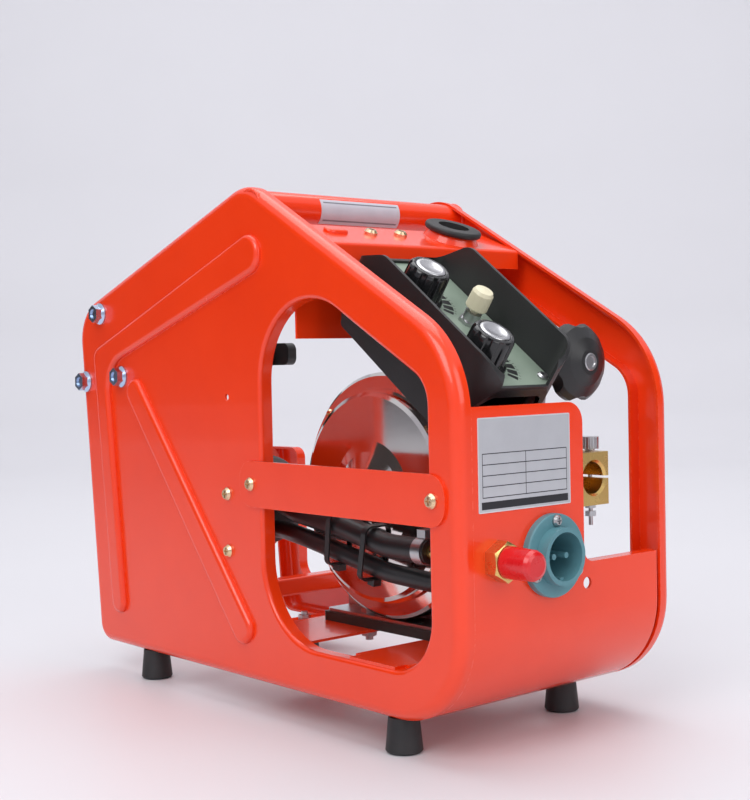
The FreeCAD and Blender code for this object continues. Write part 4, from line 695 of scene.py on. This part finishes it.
# ---------------------------------------------------------------------------
# Sub-assemblies
# ---------------------------------------------------------------------------
@dataclass
class Controls:
    """Knobs, their inserts and the dial plate."""

    tilt: float = math.radians(36.9)
    skirt_radius: float = 0.0180
    body_radius: float = 0.0155
    height: float = 0.025
    flutes: int = 10
    names: tuple[str, ...] = ("voltage_knob", "current_knob")
    made: list[bpy.types.Object] = field(default_factory=list)

    def up(self) -> Vector:
        """Direction square to the control plate."""
        return Vector((0.0, -math.sin(self.tilt), math.cos(self.tilt)))

    def seat(self, joint: str) -> Vector:
        """Point on the plate under a knob, from its joint.

        Args:
            joint: Joint name.

        Returns:
            The place in metres.
        """
        for entry in frame["record"]["behaviour"]["joints"]:
            if entry["name"] == joint:
                return Vector(entry["pos_m"])
        raise KeyError(joint)

    def knob_body(self, title: str) -> bpy.types.Object:
        """Fluted knob body with a skirt, standing on Z.

        Args:
            title: Object name.

        Returns:
            The object.
        """
        r, s, h = self.body_radius, self.skirt_radius, self.height
        profile = [(s - 0.0007, 0.0011), (s, 0.0017), (s, 0.0034), (s - 0.0008, 0.0044),
                   (r + 0.0003, 0.0052), (r, 0.0062), (r - 0.0004, h - 0.0030), (r - 0.0010, h - 0.0012),
                   (r - 0.0020, h - 0.0002), (r - 0.0042, h), (r - 0.0046, h - 0.0009)]
        thing = Bench.turned(title, profile, self.flutes * 12)
        bpy.ops.object.mode_set(mode="EDIT")

        def in_flute(place: Vector) -> bool:
            turn = math.atan2(place.y, place.x) / (2.0 * math.pi) * self.flutes
            rim = place.x ** 2 + place.y ** 2 > 1e-4
            return rim and 0.0055 < place.z < h - 0.0011 and abs(turn - round(turn)) < 0.22

        Bench.select_verts(thing, in_flute)
        bpy.ops.transform.resize(value=(0.91, 0.91, 1.0), center_override=(0.0, 0.0, 0.0))
        bpy.ops.object.mode_set(mode="OBJECT")
        Bench.soften(thing, 0.00015, 1, 50.0)
        return thing

    def insert(self, title: str) -> bpy.types.Object:
        """Bright spun cap let in the knob's top.

        Args:
            title: Object name.

        Returns:
            The object.
        """
        h, r = self.height, self.body_radius - 0.0048
        thing = Bench.turned(title, [(r, h - 0.0010), (r, h + 0.0001), (r - 0.0007, h + 0.0007),
                                     (r - 0.0030, h + 0.0008), (r - 0.0034, h + 0.0005),
                                     (0.0012, h + 0.0005)], 64)
        Bench.soften(thing, 0.0, 1)
        return thing

    def pointer(self, title: str) -> bpy.types.Object:
        """White line from the knob's cap down its flank.

        Args:
            title: Object name.

        Returns:
            The object.
        """
        Bench.clear()
        bpy.ops.mesh.primitive_cube_add(size=1.0, location=(0.0, self.body_radius - 0.0012,
                                                            self.height - 0.0002))
        thing = Bench.name(title)
        bpy.ops.object.mode_set(mode="EDIT")
        bpy.ops.transform.resize(value=(0.0011, 0.0030, 0.0009),
                                 center_override=(0.0, self.body_radius - 0.0012, self.height - 0.0002))
        bpy.ops.object.mode_set(mode="OBJECT")
        Bench.soften(thing, 0.0002, 2)
        return thing

    def build(self) -> None:
        """Builds and places both knobs and dresses the plate."""
        centres = []
        for title in self.names:
            seat = self.seat(title + "_turn")
            place = Matrix.Translation(seat) @ facing(self.up())
            body = self.knob_body(title + "_body")
            Bench.put(body, place)
            Bench.ready(body, KNOB, "knob_black", title)
            cap = self.insert(title + "_insert")
            Bench.put(cap, place)
            Bench.ready(cap, MILLED, "machined", title)
            line = self.pointer(title + "_line")
            Bench.put(line, place)
            Bench.ready(line, WHITE_INK, "white_label", title)
            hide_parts(title)
            centres.append((seat.x, seat.y * math.cos(self.tilt) + seat.z * math.sin(self.tilt)))
        WARDROBE.wear(frame["nodes"]["control_plate"], DialPlate().material(centres))


@dataclass
class Feed:
    """Coil spring on the tension rod and the knob's bright ring."""

    wire: float = 0.0014
    coils: int = 6

    def spring(self) -> None:
        """Open coil in place of the plain sleeve."""
        low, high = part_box("tension_spring")
        centre = middle_of("tension_spring")
        radius = (high[0] - low[0]) / 2.0 - self.wire / 2.0
        length = high[1] - low[1] - self.wire
        Bench.clear()
        bpy.ops.mesh.primitive_circle_add(vertices=12, radius=self.wire / 2.0,
                                          location=(radius, 0.0, 0.0),
                                          rotation=(math.pi / 2.0, 0.0, 0.0))
        thing = Bench.name("tension_coil")
        bpy.ops.object.transform_apply(location=True, rotation=True, scale=True)
        screw = thing.modifiers.new("coil", "SCREW")
        screw.axis = "Z"
        screw.angle = 2.0 * math.pi * self.coils
        screw.screw_offset = length
        screw.steps = 24 * self.coils
        screw.render_steps = 24 * self.coils
        bpy.ops.object.modifier_apply(modifier=screw.name)
        bpy.ops.object.mode_set(mode="EDIT")
        bpy.ops.mesh.select_all(action="SELECT")
        bpy.ops.mesh.fill_holes(sides=12)
        bpy.ops.mesh.normals_make_consistent(inside=False)
        bpy.ops.object.mode_set(mode="OBJECT")
        start = Vector((centre.x, low[1] + self.wire / 2.0, centre.z))
        Bench.put(thing, Matrix.Translation(start) @ facing(Vector((0.0, 1.0, 0.0))))
        Bench.soften(thing, 0.0)
        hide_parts("tension_spring")
        Bench.ready(thing, STEEL, "steel", "tension_rod")

    def ring(self) -> None:
        """Bright washer and nut let in the star knob's face."""
        low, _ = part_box("tension_knob")
        centre = middle_of("tension_knob")
        thing = Bench.turned("star_knob_nut", [(0.0062, -0.0020), (0.0062, 0.0006), (0.0056, 0.0012),
                                               (0.0040, 0.0012), (0.0036, 0.0004)], 48)
        face = Vector((centre.x, low[1], centre.z))
        Bench.put(thing, Matrix.Translation(face) @ facing(Vector((0.0, -1.0, 0.0))))
        Bench.soften(thing, 0.0)
        Bench.ready(thing, STEEL, "steel", "tension_knob")

    def build(self) -> None:
        """Builds the spring and the ring."""
        self.spring()
        self.ring()


@dataclass
class Welds:
    """Weld beads where the handle tube meets the side panels."""

    bead: float = 0.0016
    clumps: int = 40

    def tube_bead(self, title: str, side: float) -> None:
        """A beaded ring round the tube's end.

        Args:
            title: Object name.
            side: -1 for the left end, +1 for the right.
        """
        low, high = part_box("handle_tube")
        centre = middle_of("handle_tube")
        radius = (high[2] - low[2]) / 2.0
        end = (low[0] if side < 0 else high[0]) - side * 0.0006
        Bench.clear()
        bpy.ops.mesh.primitive_torus_add(major_radius=radius, minor_radius=self.bead,
                                         major_segments=self.clumps * 4, minor_segments=10)
        thing = Bench.name(title)
        bpy.ops.object.mode_set(mode="EDIT")

        def on_ridge(place: Vector) -> bool:
            turn = math.atan2(place.y, place.x) / (2.0 * math.pi) * self.clumps
            return abs(turn - round(turn)) < 0.2

        Bench.select_verts(thing, on_ridge)
        bpy.ops.transform.resize(value=(1.0, 1.0, 1.25), center_override=(0.0, 0.0, 0.0))
        bpy.ops.object.mode_set(mode="OBJECT")
        Bench.put(thing, Matrix.Translation((end, centre.y, centre.z)) @ facing(Vector((1.0, 0.0, 0.0))))
        Bench.soften(thing, 0.0)
        Bench.ready(thing, PAINT, "paint", "frame")

    def build(self) -> None:
        """Builds both beads."""
        self.tube_bead("handle_weld_left", -1.0)
        self.tube_bead("handle_weld_right", 1.0)


@dataclass
class Dresser:
    """Gives every part of the frame its finish."""

    def build(self) -> None:
        """Dresses each node by its record slot, then the printed ones."""
        slots = {entry["node"]: entry["material_slot"] for entry in frame["record"]["subparts"]}
        for name, thing in frame["nodes"].items():
            finish = SLOT_FINISH.get(slots.get(name, ""), PAINT)
            WARDROBE.wear(thing, WARDROBE.get(finish))
        WARDROBE.wear(frame["nodes"]["nameplate"], RatingPlate().material())
        WARDROBE.wear(frame["nodes"]["handle_label"], HandleLabel().material())
        log.info("dressed %d parts", len(frame["nodes"]))


# ---------------------------------------------------------------------------
# Studio
# ---------------------------------------------------------------------------
@dataclass
class Studio:
    """Round pale floor that curves up into a backdrop, soft lights, cards and the camera."""

    floor_drop: float = 0.0006
    floor_colour: Colour = (0.74, 0.735, 0.765)
    floor_patch: Colour = (0.72, 0.715, 0.745)
    world_colour: Colour = (0.84, 0.84, 0.90)
    world_strength: float = 0.76

    def sweep(self) -> None:
        """Round floor whose rim curves up into a backdrop on every side."""
        rim = [(4.6, 3.2), (4.5, 1.9), (4.2, 0.95), (3.7, 0.38), (3.1, 0.09), (2.5, 0.0), (0.5, 0.0)]
        thing = Bench.turned("studio_floor", [(r, z - self.floor_drop) for r, z in rim], 128)
        bpy.ops.object.mode_set(mode="EDIT")
        Bench.select_verts(thing, lambda place: place.z > 3.0)
        bpy.ops.mesh.delete(type="ONLY_FACE")
        bpy.ops.object.mode_set(mode="OBJECT")
        bpy.ops.object.shade_smooth()
        shade = Shade("pale_floor")
        drift = shade.ramp(shade.noise(1.2, 3.0), 0.3, 0.7)
        colour = shade.mix(drift, self.floor_colour, self.floor_patch)
        WARDROBE.wear(thing, shade.finish({"Base Color": colour, "Roughness": 0.5}))

    def card(self, title: str, place: Vector, size: tuple[float, float]) -> None:
        """A dark upright card, out of the camera's sight, for the gloss to pick up.

        Args:
            title: Name.
            place: Its middle.
            size: Width and height.
        """
        Bench.clear()
        bpy.ops.mesh.primitive_plane_add(size=1.0, location=(0.0, 0.0, 0.0))
        thing = Bench.name(title)
        bpy.ops.object.mode_set(mode="EDIT")
        bpy.ops.mesh.select_all(action="SELECT")
        bpy.ops.transform.resize(value=(size[0], size[1], 1.0), center_override=(0.0, 0.0, 0.0))
        bpy.ops.object.mode_set(mode="OBJECT")
        aim = Vector((0.0, 0.0, place.z))
        turn = (aim - place).to_track_quat("Z", "Y").to_matrix().to_4x4()
        Bench.put(thing, Matrix.Translation(place) @ turn)
        thing.visible_camera = False
        shade = Shade(title + "_cloth")
        drift = shade.ramp(shade.noise(3.0, 3.0), 0.3, 0.7)
        colour = shade.mix(drift, (0.030, 0.020, 0.018), (0.040, 0.028, 0.025))
        WARDROBE.wear(thing, shade.finish({"Base Color": colour, "Roughness": 0.8}))

    def world(self) -> None:
        """Even pale surround."""
        world = bpy.data.worlds.new("pale_surround")
        bpy.context.scene.world = world
        world.use_nodes = True
        back = world.node_tree.nodes["Background"]
        back.inputs[0].default_value = (*self.world_colour, 1.0)
        back.inputs[1].default_value = self.world_strength

    def lamp(self, title: str, place: Vector, target: Vector, size: tuple[float, float],
             power: float, tint: Colour = (1.0, 1.0, 1.0)) -> None:
        """A soft rectangular light.

        Args:
            title: Name.
            place: Where it hangs.
            target: Where it points.
            size: Width and height.
            power: Watts.
            tint: Colour.
        """
        data = bpy.data.lights.new(title, "AREA")
        data.shape = "RECTANGLE"
        data.size, data.size_y = size
        data.energy = power
        data.color = tint
        lamp = bpy.data.objects.new(title, data)
        bpy.context.scene.collection.objects.link(lamp)
        lamp.location = place
        lamp.rotation_euler = (target - place).to_track_quat("-Z", "Y").to_euler()

    def camera(self) -> None:
        """Camera at the front left, a little above the handle's mid height."""
        yaw, pitch, roll = math.radians(40.62), math.radians(1.70), math.radians(-1.17)
        forward = Vector((math.sin(yaw) * math.cos(pitch), math.cos(yaw) * math.cos(pitch),
                          -math.sin(pitch)))
        side = Vector((math.cos(yaw), -math.sin(yaw), 0.0))
        top = side.cross(forward)
        across = math.cos(roll) * side + math.sin(roll) * top
        above = -math.sin(roll) * side + math.cos(roll) * top
        data = bpy.data.cameras.new("camera")
        data.lens = 62.37
        data.sensor_width = 36.0
        data.clip_start = 0.01
        data.dof.use_dof = False
        camera = bpy.data.objects.new("camera", data)
        bpy.context.scene.collection.objects.link(camera)
        turn = Matrix((across, above, -forward)).transposed().to_4x4()
        camera.matrix_world = Matrix.Translation((-0.69343, -0.83325, 0.26095)) @ turn
        bpy.context.scene.camera = camera

    def build(self) -> None:
        """Sets up floor, world, lights and camera."""
        self.sweep()
        self.world()
        aim = Vector((0.0, 0.0, 0.2))
        self.lamp("key_left", Vector((-1.9, -0.9, 1.9)), aim, (1.6, 1.6), 30.0)
        self.lamp("fill_front", Vector((0.4, -2.4, 1.3)), aim, (1.8, 1.4), 16.0)
        self.lamp("top_soft", Vector((0.2, 0.3, 2.4)), aim, (2.2, 2.2), 30.0)
        self.lamp("backdrop_wash", Vector((1.4, 1.6, 2.6)), Vector((3.4, 3.6, 0.6)), (2.4, 1.4), 26.0)
        self.card("rear_card", Vector((-1.9, 1.9, 1.0)), (2.6, 1.7))
        self.card("front_card", Vector((1.9, -1.9, 1.15)), (2.4, 1.7))
        self.camera()
        bpy.context.scene.view_settings.view_transform = "Standard"
        bpy.context.scene.view_settings.look = "None"


def main() -> None:
    """Builds the classes in order."""
    for part in (Dresser(), Controls(), Feed(), Welds(), Studio()):
        log.info("building %s", type(part).__name__)
        part.build()


if __name__ == "__main__":
    main()
